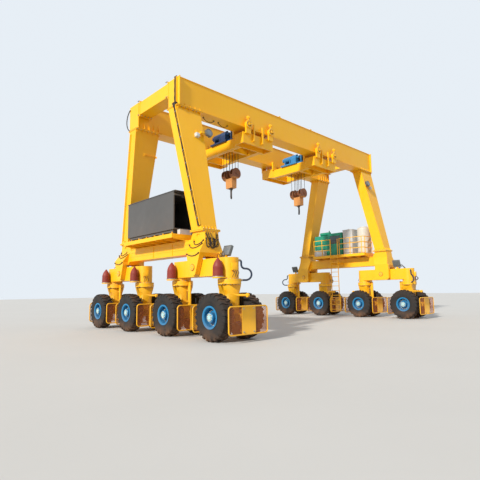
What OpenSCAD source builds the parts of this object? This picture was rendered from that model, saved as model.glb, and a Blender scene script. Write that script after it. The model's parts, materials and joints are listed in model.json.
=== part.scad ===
// Rubber tyred gantry crane with two trolleys on a twin girder.
// X runs along the girders, Y across them, Z up. The origin is on the ground at the middle.

/* [Overall] */
// Distance between the centres of the two wheel frames, along the girders
span = 14100; // [13700:50:15500]
// Height of the girders' top faces above the ground
girder_top = 10600; // [10200:50:11400]
// Height of the plane where the legs are bolted to the lower frames
leg_foot_z = 4045; // [3950:5:4250]
// Running clearance between flat faces that move on each other
seat_gap = 0.3; // [0.2:0.1:1]
// Running clearance on the radius of pins and axles
pin_gap = 0.08; // [0.02:0.01:0.1]

/* [Girders] */
// Distance from the middle of the crane to a girder's outer web
girder_outer_y = 1979; // [1900:5:2100]
// Width of a girder over its webs
girder_w = 640; // [560:10:720]
// Height of a girder
girder_h = 1240; // [1100:10:1400]
// Length of a girder beyond the centre of the wheel frame
girder_overhang = 590; // [560:5:760]
// Width of the flange lip outside each web, which the trolley wheels run on
lip_w = 70; // [60:2:90]
// Thickness of the girder flanges
girder_flange_t = 30; // [20:1:40]
// Height of the beams that tie the girder ends
tie_h = 600; // [500:10:700]
// Depth of the tie beams, along the girders
tie_d = 620; // [500:10:700]
// Length of the stubs that the girders hold out to the tie beams
stub_l = 150; // [120:10:200]

/* [Legs] */
// Depth of a leg at its top, along the girders
leg_top_x = 1250; // [1100:10:1300]
// Width of a leg at its top, across the girders
leg_top_y = 594; // [520:2:640]
// Depth of a leg at its foot, along the girders
leg_foot_x = 745; // [650:5:850]
// Width of a leg at its foot, across the girders
leg_foot_y = 649; // [560:1:720]
// Distance from the middle of the crane to the middle of a leg's foot
leg_foot_mid_y = 2888; // [2820:2:2960]
// Thickness of the bolted leg plates
leg_plate_t = 40; // [30:1:50]
// Number of gussets along a leg plate
gusset_count = 5; // [3:1:7]

/* [Lower frames] */
// Distance from the middle of the crane to a rocker pin
pin_y = 2944; // [2900:2:2990]
// Height of a rocker pin
pin_z = 2606; // [2560:2:2650]
// Diameter of a rocker pin
pin_d = 200; // [180:5:240]
// Outer half width of the fork that holds an equaliser
fork_half = 563; // [520:1:600]
// Height of the sill beams
sill_h = 570; // [480:10:620]
// Width of the sill beams
sill_w = 600; // [500:10:680]
// Height of the sill beams' lower faces
sill_z = 3150; // [3120:5:3250]

/* [Equalisers] */
// Distance between the two struts of one equaliser
strut_gap = 2874; // [2820:2:2950]
// Width of an equaliser beam
eq_w = 680; // [600:10:700]
// Height of an equaliser beam's top face
eq_top_z = 2900; // [2860:5:2930]
// Height of an equaliser beam's lower face
eq_low_z = 2260; // [2230:5:2290]
// Height of the slewing face between equaliser and strut
slew_z = 2040; // [2000:5:2080]
// Radius of the slewing flanges
slew_r = 420; // [380:5:440]

/* [Wheels] */
// Outer diameter of a tyre
tyre_d = 1650; // [1500:10:1700]
// Width of a tyre
tyre_w = 500; // [440:5:520]
// Distance from a strut's centre to the middle of each tyre
tyre_x = 699; // [690:1:720]
// Outer diameter of a rim
rim_d = 830; // [760:10:880]
// Diameter of an axle
axle_d = 200; // [160:5:220]
// Distance from an axle to the guards before and behind it
guard_y = 960; // [930:5:975]
// Width of a guard
guard_w = 1850; // [1750:10:1860]
// Height of a guard's lower edge
guard_z = 250; // [200:10:300]
// Height of a guard
guard_h = 970; // [900:10:1000]
// Diameter of a guard's tube
guard_tube = 48; // [40:2:56]
// Radius of a guard's rounded corners
guard_r = 120; // [80:10:160]

/* [Platforms] */
// Width of the service platforms
deck_w = 1900; // [1800:10:1940]
// Height of the platforms' edge channels
deck_h = 160; // [120:5:200]
// Height of the platforms' lower faces
deck_z = 3800; // [3760:5:3830]
// Length of the service platforms
deck_l = 3900; // [3700:10:4000]
// Place of a platform's middle, across the girders
deck_y = -180; // [-220:10:-120]
// Length of the enclosure on the near platform
enclosure_l = 3730; // [3500:10:3900]
// Height of the enclosure
enclosure_h = 1540; // [1400:10:1600]
// Depth of the enclosure
enclosure_d = 1400; // [1300:10:1450]
// Thickness of the enclosure's walls
enclosure_t = 50; // [40:1:80]
// Thickness of the tanks' walls
tank_t = 20; // [12:1:30]
// Height of the handrail above the deck
rail_h = 1050; // [950:10:1100]
// Width of the ladder over its stiles
ladder_w = 560; // [500:10:620]
// Width of the ladder's lower section over its stiles
ladder_low_w = 720; // [660:10:760]
// Height of the ladder's foot above the ground
ladder_z = 350; // [300:10:500]
// Pitch of the ladder's rungs
rung_pitch = 300; // [270:5:330]

/* [Trolleys] */
// Length of a trolley, along the girders
trolley_l = 2040; // [1960:10:2120]
// Distance from the middle of the crane to a trolley's end faces
trolley_end_y = 2020; // [2010:2:2040]
// Height of a trolley frame's end beams
trolley_h = 530; // [480:10:560]
// Gap from a trolley frame's top up to the girders' lower faces
trolley_drop = 200; // [180:5:240]
// Place of the first trolley's middle, along the girders
trolley_1_x = -2980; // [-3060:10:-2900]
// Place of the second trolley's middle, along the girders
trolley_2_x = 2490; // [2400:10:2560]
// Diameter of the trolley wheels
runner_d = 260; // [220:10:300]

/* [Hoists] */
// Radius of the winch drums
drum_r = 270; // [220:10:300]
// Distance from a trolley's underside down to the first hook block's top
block_drop = 680; // [630:10:780]
// How much lower than the first the second hook block hangs
block_2_low = 180; // [0:10:300]
// Diameter of the hook blocks' sheave cases
block_d = 560; // [520:10:600]
// Width of the hook blocks' sheave cases, across the girders
block_w = 880; // [840:10:920]
// Diameter of the hoist ropes
rope_d = 26; // [20:1:32]
// Distance between the falls of rope
fall_pitch = 220; // [205:5:230]

/* [Hidden] */
$fn = 48;
EPS = 0.01;
FRONT = -1;
BACK = 1;
NEAR = -1;
FAR = 1;
STRUTS = [1, 2, 3, 4];

half_span = span / 2;

// Girders
girder_z = girder_top - girder_h;
girder_half = half_span + girder_overhang;
girder_mid_y = girder_outer_y - girder_w / 2;
girder_in_y = girder_outer_y - girder_w;
lip_out_y = girder_outer_y + lip_w;
lip_in_y = girder_in_y - lip_w;
top_lip = 25;
top_lip_t = 25;
end_plate_t = 40;
end_plate_rim = 40;
brace_h = 450;
small_brace_h = 130;
gusset_t = 20;
lug_x = 1310;
lug_l = 140;
lug_h = 70;
bite = 5;

// Tie beams, between the flanges of the girders' stubs
tie_top = girder_top - 20;
tie_x0 = -girder_overhang + 20;
tie_end_y = girder_in_y - stub_l;
tie_flange_t = 35;
tie_flange_rim = 70;

// Legs
leg_top_z = girder_z;
leg_top_shift = -34;
leg_foot_shift = 49;
leg_top_mid_y = girder_mid_y - 11;
plate_rim = 90;
plate_rim_out = 20;
gusset_w = 80;
gusset_h = 150;

// Lower frames
crown_gap = 110;
crown_z = eq_top_z + crown_gap;
fork_gap = 15;
eq_half = eq_w / 2;
fork_in = eq_half + fork_gap;
arm_top_z = sill_z;
arm_w = 446;
arm_in = 380;
arm_foot = 150;
arm_low_z = pin_z - 300;
cheek_w = 500;
cheek_low_z = pin_z - 346;
cheek_cut = 120;
box_out_x = -250;
box_in_x = 420;
box_low_z = sill_z + 500;
box_rim = 60;
sill_end = pin_y - 300;
sill_top = sill_z + sill_h;
sill_flange = 20;
sill_flange_t = 30;
rib_w = 30;
rib_out = 12;
knee = 150;
hand_hole_r = 55;
hand_hole_l = 110;
hand_hole_z = 3850;
pin_head = 30;
pin_head_t = 15;

// Equalisers and struts
axle_z = tyre_d / 2;
strut_y = [-pin_y - strut_gap / 2, -pin_y + strut_gap / 2, pin_y - strut_gap / 2, pin_y + strut_gap / 2];
turret_r = 340;
slew_t = 90;
strut_top = slew_z - seat_gap - slew_t;
boss_r = 190;
boss_half = 400;
column_x = 440;
column_top_x = 600;
column_y = 560;
shoulder_z = axle_z + 825;
fin_in = 390;
fin_clear = 15;
fin_out = 560;
fin_t = 40;
fin_low_z = 1200;
fin_high_z = slew_z + 110;
arm_t = 70;
steer_tube_d = 90;
steer_tube_z = 1560;
steer_tube_x = 150;
steer_tube_end = 770;
cover_x = 530;
cover_r = 180;
cover_h = 650;
shelf_t = 40;
shelf_r = 200;
shelf_z = fin_high_z + 10;
steer_hose_r = 25;
steer_hose_turn = -43;
steer_hose_top = 2800;
steer_hose_drop = 430;
steer_hose_elbow = 60;
steer_hose_fall = 100;
steer_hose_bend = 140;
steer_hose_loop = 205;
steer_hose_run = 20;
beacon_y = 930;
beacon_x = eq_half - 40;
beacon_lean = 22;
beacon = [100, 420, 400];
plate_half = 315;
plate_t = 30;
mesh_t = 6;
mesh_pitch = 190;
mesh_web = 22;
hinge_w = 50;

// Platforms and what stands on them
deck_top = deck_z + deck_h;
deck_front = deck_y - deck_l / 2;
deck_back = deck_y + deck_l / 2;
deck_plate_t = 12;
deck_edge = 70;
deck_bays = 6;
beam_w = 60;
beam_half = deck_w / 2 - 100;
edge_lug = [50, 20, 60];
enclosure_gap = 225;
enclosure_low = deck_top + enclosure_gap;
enclosure_x0 = -deck_w / 2 + 250;
roof_t = 25;
roof_out = 20;
roof_front = 120;
header_h = 60;
header_drop = 110;
skid_w = 120;
skid_h = 100;
rail_d = 42;
rail_x = deck_w / 2 - 30;
rail_front = deck_front + 40;
rail_back = deck_back - 60;
rail_bend = 150;
rail_hoop = 1020;
rail_levels = [0.34, 0.67, 1];
ladder_x = deck_w / 2 + 60;
ladder_y = 30;
ladder_t = 20;
ladder_depth = 60;
ladder_low_top = 1350;
bracket_z = sill_z + 150;
bracket_h = 340;
gen_back = -deck_w / 2 + 250;
gen_front = 550;
gen_end = deck_back + 97;
gen_l = 1067;
gen_split = gen_end - gen_l;
gen_h = 1410;
cab_l = 1100;
cab_end = gen_split - cab_l;
cab_h = 1510;
plinth = 25;
plinth_h = 120;
louvre_n = 8;
louvre_h = 30;
louvre_cut = 15;
window_cut = 20;
muffler_r = 110;
muffler_l = 830;
muffler_x = 150;
tank_x0 = -400;
tank_x1 = 500;
tank_gap = 35;
tank_l = 710;
tank_h = 1580;
tank_r = 60;
tank_y1 = cab_end - tank_gap;
tank_y0 = tank_y1 - tank_l;
lid_t = 67;
lid_out = 15;
cap_r = 100;
cap_h = 45;
drum_tank_r = 420;
drum_tank_x = 20;
drum_tank_y = tank_y0 - 160 - drum_tank_r;
drum_tank_h = 1690;
shoulder = 110;
manhole_r = 220;
manhole_t = 50;
near_box = [550, 190, 200];
near_box_x = -550;
far_box = [290, 850, 410];

// Lamps on the legs
lamp_z = 8260;
lamp_r = 170;
lamp_out = 180;
lamp_arm = 60;
lamp_box = [180, 130, 160];

// Trolleys
trolley_half = trolley_l / 2;
trolley_top = girder_z - trolley_drop;
trolley_z = trolley_top - trolley_h;
end_beam_d = 620;
side_in = 200;
side_w = 250;
well_rim = 60;
well_h = 200;
beam_drop = 60;
beam_top = trolley_top - beam_drop;
cross_y = 580;
cross_w = 160;
runner_z = girder_z + girder_flange_t + seat_gap + runner_d / 2;
runner_x = 770;
hanger_w = 320;
hanger_t = 90;
hanger_gap = 8;
hanger_top = runner_z + 85;
post_x = [-370, 230];
post_w = 80;
post_low = trolley_z + 150;
post_high = hanger_top + 15;
rope_x = block_d * 0.36;
sheave_r = rope_x - rope_d / 2 - seat_gap;
nest_z = trolley_z + 320;
sheave_pin_r = 60;
drum_x = -330;
drum_low = -1050;
drum_high = 420;
stand_t = 50;
skid_beam_h = 80;
motor_r = 150;
motor_x = -760;
mast_y = -900;

// Hook blocks
block_top = trolley_z - block_drop;
groove = 2;
sheave_rim = 26;
sheave_w = rope_d + 2 * groove + 28;
cheek_t = 36;
neck_x = 300;
neck_drop = 440;
neck_low = block_top - block_d - neck_drop;
axle_mid = block_top - block_d / 2;
rope_low = axle_mid;
shank_r = 55;
shank_in = 240;
collar_r = 85;
collar_h = 70;
hook_r = 120;
hook_neck = 300;
hook_steps = 22;
hook_sides = 12;

// Cable runs
tray_w = 170;
tray_in = 90;
tray_t = 40;
tray_end_y = 1825;
tray_foot_z = leg_foot_z + 155;
cable_r = 22;
loop_r = 584;
loop_half = 64;
loop_y = 1772;
loop_z = girder_top - 663;
festoon_r = 14;
festoons = [[-6080, -5480], [-5220, -4670]];
festoon_sag = 130;
clamp = 44;
hose_r = 17;
swags = [[40, -3255, -2680, 190], [200, -3290, -2500, 180]];
low_swag = [3130, -3330, -2600, 90];
loops = [[-140, 3700, 80, 260], [60, 3720, 70, 330], [268, 3690, 85, 210]];

// A value between a leg's top and foot, at a height
function mix(top, foot, z) = top + (foot - top) * (leg_top_z - z) / (leg_top_z - leg_foot_z);
function leg_out_y(z) = mix(leg_top_mid_y + leg_top_y / 2, leg_foot_mid_y + leg_foot_y / 2, z);
function leg_in_y(z) = mix(leg_top_mid_y - leg_top_y / 2, leg_foot_mid_y - leg_foot_y / 2, z);
function leg_out_x(z) = mix(leg_top_shift - leg_top_x / 2, leg_foot_shift - leg_foot_x / 2, z);
function leg_in_x(z) = mix(leg_top_shift + leg_top_x / 2, leg_foot_shift + leg_foot_x / 2, z);
leg_lean = atan(leg_out_y(0) - leg_out_y(1));

// Evenly spaced values from the first to the last
function spread(first, last, n) = [for (k = [0:n - 1]) first + (last - first) * k / (n - 1)];

paint = "gold";
steel = "silver";
dark = "dimgray";

// A box given by its low and high corners
module block(low, high) {
    translate(low) cube(high - low);
}

// A box on both sides of the middle plane across Y
module pair(low, high) {
    for (s = [0, 1]) mirror([0, s, 0]) block(low, high);
}

// A cylinder along X, centred on its middle
module rod_x(r, l) {
    rotate([0, 90, 0]) cylinder(r = r, h = l, center = true);
}

// A cylinder along Y, centred on its middle
module rod_y(r, l) {
    rotate([90, 0, 0]) cylinder(r = r, h = l, center = true);
}

// A cylinder along Y between two places
module span_y(r, y0, y1) {
    translate([0, y1, 0]) rotate([90, 0, 0]) cylinder(r = r, h = y1 - y0);
}

// An outline in Y and Z, drawn out along X
module prism_x(points, x0, x1) {
    translate([x0, 0, 0]) rotate([90, 0, 90]) linear_extrude(x1 - x0) polygon(points);
}

// An outline in X and Z, drawn out along Y
module prism_y(points, y0, y1) {
    translate([0, y1, 0]) rotate([90, 0, 0]) linear_extrude(y1 - y0) polygon(points);
}

// A rectangle with rounded corners, centred
module round_rect(x, y, r) {
    square([x, y - 2 * r], center = true);
    square([x - 2 * r, y], center = true);
    for (u = [-1, 1], v = [-1, 1]) translate([u * (x / 2 - r), v * (y / 2 - r)]) circle(r = r);
}

// Upright gussets at the given places along X, from a wall out over a plate
module gussets(xs, y_wall, y_rim, z, h) {
    for (x = xs) prism_x([[y_wall, z], [y_rim, z], [y_wall, z + h]], x - gusset_t / 2, x + gusset_t / 2);
}

// Part of a round bar bent in X and Y: radius of the bend, its start and its turn
module bend(r, start, turn, d) {
    rotate([0, 0, start]) rotate_extrude(angle = turn) translate([r, 0]) circle(d = d);
}

// Puts a child on one wheel frame, with its outer side towards -X in the child's own axes
module on_frame(end) {
    translate([end * half_span, 0, 0]) mirror([end == FAR ? 1 : 0, 0, 0]) children();
}

// Puts a child drawn for the front on the front or the back
module on_side(side) {
    mirror([0, side == BACK ? 1 : 0, 0]) children();
}

// Puts a child on a steered strut's axis, with the rocker pin towards +Y in the child's own axes
module on_strut(end, i) {
    on_frame(end) translate([0, strut_y[i - 1], 0]) mirror([0, i % 2 == 0 ? 1 : 0, 0]) children();
}

// One box girder with flanges, end plates, lifting lugs, and stubs that carry the tie beams
module girder(side) {
    outer = -lip_out_y - end_plate_rim;
    color(paint) on_side(side) union() {
        block([-girder_half, -girder_outer_y, girder_z], [girder_half, -girder_in_y, girder_top]);
        block([-girder_half, -lip_out_y, girder_z], [girder_half, -lip_in_y, girder_z + girder_flange_t]);
        block([-girder_half, -girder_outer_y - top_lip, girder_top - top_lip_t],
              [girder_half, -girder_in_y + top_lip, girder_top]);
        for (x = [-lug_x, lug_x])
            block([x - lug_l / 2, -girder_outer_y, girder_top - EPS],
                  [x + lug_l / 2, -girder_outer_y + gusset_t, girder_top + lug_h]);
        for (end = [NEAR, FAR]) on_frame(end) girder_end(outer);
    }
}

// What a girder carries over one leg
module girder_end(outer) {
    z = girder_z + girder_flange_t;
    xs = spread(tie_x0 + 60, leg_in_x(leg_top_z) - 60, gusset_count);
    block([-girder_overhang, outer, girder_z], [-girder_overhang + end_plate_t, -lip_in_y, girder_top]);
    block([tie_x0, -girder_in_y - bite, tie_top - tie_h], [tie_x0 + tie_d, -tie_end_y, tie_top]);
    block([tie_x0 - 10, -tie_end_y - tie_flange_t, tie_top - tie_h - tie_flange_rim],
          [tie_x0 + tie_d + tie_flange_rim, -tie_end_y, tie_top + tie_flange_rim]);
    gussets(xs, -girder_in_y - bite, -lip_in_y, z - EPS, brace_h);
    gussets(xs, -girder_outer_y + bite, -lip_out_y, z - EPS, small_brace_h);
}

// The two tie beams across the girder ends, bolted between the stubs' flanges
module end_ties() {
    color(paint) for (end = [NEAR, FAR]) on_frame(end) union() {
        block([tie_x0, -tie_end_y, tie_top - tie_h], [tie_x0 + tie_d, tie_end_y, tie_top]);
        pair([tie_x0 - 10, tie_end_y - tie_flange_t, tie_top - tie_h - tie_flange_rim],
             [tie_x0 + tie_d + tie_flange_rim, tie_end_y, tie_top + tie_flange_rim]);
    }
}

// A leg that leans in and tapers, with bolted plates and gussets at its top and foot
module leg(end, side) {
    zt = leg_top_z - leg_plate_t;
    zf = leg_foot_z + leg_plate_t;
    side_view = [
        [-leg_out_y(leg_foot_z), leg_foot_z], [-leg_in_y(leg_foot_z), leg_foot_z],
        [-leg_in_y(leg_top_z), leg_top_z], [-leg_out_y(leg_top_z), leg_top_z],
    ];
    front_view = [
        [leg_out_x(leg_foot_z), leg_foot_z], [leg_in_x(leg_foot_z), leg_foot_z],
        [leg_in_x(leg_top_z), leg_top_z], [leg_out_x(leg_top_z), leg_top_z],
    ];
    color(paint) on_frame(end) on_side(side) union() {
        intersection() {
            prism_x(side_view, -leg_top_x, leg_top_x);
            prism_y(front_view, -leg_foot_mid_y - leg_foot_y, -leg_top_mid_y + leg_top_y);
        }
        block([leg_out_x(leg_top_z) - plate_rim_out, -leg_out_y(leg_top_z) - plate_rim, zt],
              [leg_in_x(leg_top_z) + plate_rim, -leg_in_y(leg_top_z) + plate_rim, leg_top_z]);
        block([leg_out_x(leg_foot_z) - plate_rim_out, -leg_out_y(leg_foot_z) - plate_rim, leg_foot_z],
              [leg_in_x(leg_foot_z) + plate_rim, -leg_in_y(leg_foot_z) + plate_rim, zf]);
        leg_gussets(zt + EPS, zt - gusset_h);
        leg_gussets(zf - EPS, zf + gusset_h);
    }
}

// Gussets round a leg, from a plate at one height to their tips at another
module leg_gussets(z, tip) {
    for (x = spread(leg_out_x(z) + 60, leg_in_x(z) - 60, gusset_count)) {
        x0 = x - gusset_t / 2;
        x1 = x + gusset_t / 2;
        prism_x([[-leg_out_y(z) + bite, z], [-leg_out_y(z) - gusset_w, z], [-leg_out_y(tip) + bite, tip]], x0, x1);
        prism_x([[-leg_in_y(z) - bite, z], [-leg_in_y(z) + gusset_w, z], [-leg_in_y(tip) - bite, tip]], x0, x1);
    }
    for (y = spread(-leg_out_y(z) + 90, -leg_in_y(z) - 90, 3))
        prism_y([[leg_in_x(z) - bite, z], [leg_in_x(z) + gusset_w, z], [leg_in_x(tip) - bite, tip]],
                y - gusset_t / 2, y + gusset_t / 2);
}

// A welded corner: a box under the leg that widens to a crown, with two cheeks over an equaliser
module corner() {
    top_out = -leg_out_y(leg_foot_z) - box_rim;
    top_in = -leg_in_y(leg_foot_z);
    crown_view = [
        [top_out, leg_foot_z], [-pin_y - arm_w, arm_top_z], [-pin_y - arm_w + 50, crown_z],
        [-pin_y + arm_in, crown_z], [-pin_y + arm_in, arm_top_z], [-sill_end + 244, sill_top],
        [top_in, leg_foot_z],
    ];
    front_view = [
        [-fork_half, crown_z - 1], [fork_half, crown_z - 1], [fork_half, arm_top_z + 50],
        [box_in_x, box_low_z], [box_in_x, leg_foot_z], [box_out_x, leg_foot_z], [box_out_x, box_low_z],
        [-fork_half, arm_top_z + 50],
    ];
    outer_view = [
        [-pin_y - arm_w, arm_top_z], [-pin_y - arm_foot, arm_low_z + 34], [-pin_y - arm_foot + 40, arm_low_z],
        [-pin_y + arm_foot - 20, arm_low_z], [-pin_y + arm_foot + 20, arm_low_z + 34],
        [-pin_y + arm_in, crown_z], [-pin_y + arm_in, arm_top_z],
    ];
    inner_view = [
        [-pin_y - arm_w, arm_top_z + 60], [-pin_y - cheek_w, arm_top_z], [-pin_y - cheek_w, cheek_low_z + cheek_cut],
        [-pin_y - cheek_w + cheek_cut, cheek_low_z], [-pin_y + arm_in - cheek_cut, cheek_low_z],
        [-pin_y + arm_in, cheek_low_z + cheek_cut], [-pin_y + arm_in, arm_top_z + 60],
    ];
    difference() {
        union() {
            intersection() {
                prism_x(crown_view, -fork_half - 1, fork_half + 1);
                prism_y(front_view, -pin_y - 700, -pin_y + 800);
            }
            prism_x(outer_view, -fork_half, -fork_in);
            prism_x(inner_view, fork_in, fork_half);
            block([leg_out_x(leg_foot_z) - plate_rim_out, -leg_out_y(leg_foot_z) - plate_rim, leg_foot_z - leg_plate_t],
                  [leg_in_x(leg_foot_z) + plate_rim, -leg_in_y(leg_foot_z) + plate_rim, leg_foot_z]);
            corner_gussets(top_out);
            prism_x([[-pin_y + arm_in - bite, crown_z], [-pin_y + arm_in - bite, sill_z + bite],
                     [-pin_y + arm_in + knee, sill_z + bite], [-pin_y + arm_in + knee, sill_z]],
                    -sill_w / 2, sill_w / 2);
        }
        translate([0, -pin_y, pin_z]) rod_x(pin_d / 2 + pin_gap, 2 * fork_half + 2);
        translate([box_out_x, -leg_foot_mid_y, hand_hole_z]) for (y = [-hand_hole_l / 2, hand_hole_l / 2])
            translate([0, y, 0]) rod_x(hand_hole_r, 60);
        translate([box_out_x, -leg_foot_mid_y, hand_hole_z])
            block([-30, -hand_hole_l / 2, -hand_hole_r], [30, hand_hole_l / 2, hand_hole_r]);
    }
}

// The small gussets under a corner's foot plate, on its outer face
module corner_gussets(top_out) {
    z = leg_foot_z - leg_plate_t;
    slope = (pin_y + arm_w + top_out) / (leg_foot_z - arm_top_z);
    for (x = spread(box_out_x + 40, box_in_x - 40, gusset_count))
        prism_x([[top_out + bite, z + EPS], [top_out - box_rim / 2, z + EPS],
                 [top_out - slope * gusset_h + bite, z - gusset_h]], x - gusset_t / 2, x + gusset_t / 2);
}

// A lower frame: the sill beam and its two corners, welded into one piece
module lower_frame(end) {
    w = sill_w / 2;
    color(paint) on_frame(end) union() {
        for (side = [FRONT, BACK]) on_side(side) corner();
        block([-w, -sill_end, sill_z], [w, sill_end, sill_top]);
        for (z = [sill_z, sill_top - sill_flange_t])
            block([-w - sill_flange, -sill_end + knee * 2, z], [w + sill_flange, sill_end - knee * 2, z + sill_flange_t]);
        for (h = [0.36, 0.68])
            block([-w - rib_out, -sill_end + knee * 2, sill_z + sill_h * h],
                  [-w + bite, sill_end - knee * 2, sill_z + sill_h * h + rib_w]);
        for (y = [-1200, 275])
            block([-w - sill_flange, y - 12, sill_z + EPS], [-w + bite, y + 12, sill_top - EPS]);
    }
}

// A service deck: a framed plate on crossbeams over the sill beam, with lugs along its outer edge
module platform(end) {
    bay = (deck_l - 2 * deck_edge - (deck_bays - 1) * beam_w) / deck_bays;
    color(paint) on_frame(end) union() {
        difference() {
            block([-deck_w / 2, deck_front, deck_z], [deck_w / 2, deck_back, deck_top]);
            for (k = [0:deck_bays - 1]) translate([0, deck_front + deck_edge + k * (bay + beam_w), 0])
                block([-deck_w / 2 + deck_edge, 0, deck_z - 1], [deck_w / 2 - deck_edge, bay, deck_top - deck_plate_t]);
        }
        for (k = [0:deck_bays]) translate([0, deck_front + deck_edge - beam_w + k * (bay + beam_w), 0]) {
            prism_y([[-beam_half, deck_z + bite], [beam_half, deck_z + bite], [beam_half, deck_z - 30],
                     [sill_w / 2, sill_top], [-sill_w / 2, sill_top], [-beam_half, deck_z - 30]], 0, beam_w);
            translate([-deck_w / 2, 0, deck_top - EPS]) cube(edge_lug);
        }
    }
}

// A hollow equipment enclosure on skids, open at its front end under a header and a roof overhang
module enclosure() {
    low = enclosure_low;
    top = low + enclosure_h;
    t = enclosure_t;
    x0 = enclosure_x0;
    x1 = x0 + enclosure_d;
    l = enclosure_l / 2;
    color(dark) on_frame(NEAR) union() {
        difference() {
            block([x0, -l, low], [x1, l, top]);
            block([x0 + t, -l - 1, low + t], [x1 - t, l - t, top - t]);
        }
        block([x0 - roof_out, -l - roof_front, top - EPS], [x1 + roof_out, l + roof_out, top + roof_t]);
        block([x0, -l - header_h, top - header_drop - header_h], [x1, -l + EPS, top - header_drop]);
        for (x = [x0 + enclosure_d * 0.3, x0 + enclosure_d * 0.7])
            block([x - 60, -l - header_h + 5, top - header_drop - header_h - 50],
                  [x + 60, -l - 5, top - header_drop - header_h + EPS]);
        for (x = [x0 + skid_w / 2, x1 - skid_w * 1.5]) {
            block([x, -l + skid_w, low - skid_h], [x + skid_w, l - skid_w, low + EPS]);
            for (y = spread(-l + skid_w * 2, deck_back - skid_w, 5))
                block([x, y - skid_w, deck_top], [x + skid_w, y + skid_w, low - skid_h + EPS]);
        }
        for (k = spread(-l + skid_w, l - 2 * skid_w, 5))
            block([x0 + skid_w, k, low - skid_h], [x1 - skid_w, k + skid_w, low + EPS]);
    }
}

// The handrail along the far deck's inner edge, with a gap at the ladder and a hoop round its front end
module handrail() {
    gap = ladder_w / 2 + 50;
    r = rail_bend;
    color(paint) on_frame(FAR) {
        union() {
            for (k = rail_levels) translate([0, 0, deck_top + k * rail_h]) {
                translate([rail_x, 0, 0]) span_y(rail_d / 2, rail_front + r, ladder_y - gap);
                translate([rail_x - r, rail_front + r, 0]) bend(r, -90, 90, rail_d);
                translate([(rail_x - r + rail_x - rail_hoop) / 2, rail_front, 0]) rod_x(rail_d / 2, rail_hoop - r);
            }
            for (y = [rail_front + r, (rail_front + r + ladder_y - gap) / 2, ladder_y - gap - rail_d / 2])
                rail_post(rail_x, y);
            for (x = [rail_x - r, rail_x - rail_hoop + rail_d / 2]) rail_post(x, rail_front);
        }
        union() {
            for (k = rail_levels) translate([rail_x, 0, deck_top + k * rail_h])
                span_y(rail_d / 2, ladder_y + gap, rail_back);
            for (y = [ladder_y + gap + rail_d / 2, (ladder_y + gap + rail_back) / 2, rail_back - rail_d / 2])
                rail_post(rail_x, y);
        }
    }
}

// A handrail post
module rail_post(x, y) {
    translate([x, y, deck_top]) cylinder(d = rail_d, h = rail_h);
}

// The access ladder to the far deck: a wider lower section, with the upper one bolted inside it
module ladder() {
    top = deck_top + rail_h;
    x = ladder_x;
    low_top = ladder_low_top;
    count = floor((deck_top - ladder_z - 100) / rung_pitch);
    color(paint) on_frame(FAR) translate([0, ladder_y, 0]) union() {
        for (s = [0, 1]) mirror([0, s, 0]) {
            translate([x, ladder_w / 2 - ladder_t, 0])
                block([-ladder_depth / 2, 0, low_top - rung_pitch], [ladder_depth / 2, ladder_t, top]);
            translate([x, ladder_low_w / 2 - ladder_t, 0])
                block([-ladder_depth / 2, 0, ladder_z], [ladder_depth / 2, ladder_t, low_top]);
            block([deck_w / 2, ladder_w / 2 - ladder_t, deck_z + 20], [x, ladder_w / 2, deck_top - 20]);
            block([sill_w / 2 + ladder_t, ladder_w / 2 - ladder_t, bracket_z + 60],
                  [x, ladder_w / 2, bracket_z + 140]);
        }
        for (i = [0:count]) {
            z = ladder_z + 100 + i * rung_pitch;
            translate([x, 0, z]) rod_y(15, (z < low_top ? ladder_low_w : ladder_w) - ladder_t);
        }
        block([sill_w / 2, -ladder_low_w / 2, bracket_z], [sill_w / 2 + ladder_t + EPS, ladder_low_w / 2, bracket_z + bracket_h]);
    }
}

// The engine set in its cover, with the control cabinet beside it and the silencer on top
module generator() {
    top = deck_top + gen_h;
    mid = (gen_split + gen_end) / 2;
    color("seagreen") on_frame(FAR) union() {
        difference() {
            union() {
                block([gen_back, gen_split - EPS, deck_top], [gen_front, gen_end, top]);
                block([gen_back + 60, cab_end, deck_top], [gen_front, gen_split, deck_top + cab_h]);
            }
            for (k = [0:louvre_n - 1]) translate([gen_front, 0, deck_top + 0.3 * gen_h + k * 2.4 * louvre_h])
                block([-louvre_cut, gen_split + 150, 0], [1, gen_end - 150, louvre_h]);
            block([gen_front - window_cut, cab_end + 130, deck_top + 0.52 * cab_h],
                  [gen_front + 1, gen_split - 150, deck_top + 0.88 * cab_h]);
            for (y = [gen_split + 60, gen_end - 90])
                block([gen_front - louvre_cut, y, deck_top + 0.16 * gen_h], [gen_front + 1, y + 12, deck_top + 0.9 * gen_h]);
        }
        block([gen_back - plinth, cab_end, deck_top], [gen_front + plinth, gen_end - plinth, deck_top + plinth_h]);
        translate([muffler_x, 0, top + muffler_r + 60]) span_y(muffler_r, gen_split + 60, gen_split + muffler_l);
        for (y = [gen_split + 180, gen_split + muffler_l - 150])
            block([muffler_x - 60, y, top - EPS], [muffler_x + 60, y + 40, top + muffler_r]);
        translate([muffler_x, gen_split + 130, top + muffler_r + 60]) cylinder(r = 40, h = muffler_r + 90);
    }
}

// The square white tank: a rounded shell with an open top
module square_tank() {
    x = tank_x1 - tank_x0;
    color("white") on_frame(FAR) translate([tank_x0 + x / 2, tank_y0 + tank_l / 2, deck_top]) difference() {
        linear_extrude(tank_h) round_rect(x, tank_l, tank_r);
        translate([0, 0, tank_t]) linear_extrude(tank_h) round_rect(x - 2 * tank_t, tank_l - 2 * tank_t, tank_r - tank_t);
    }
}

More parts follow.
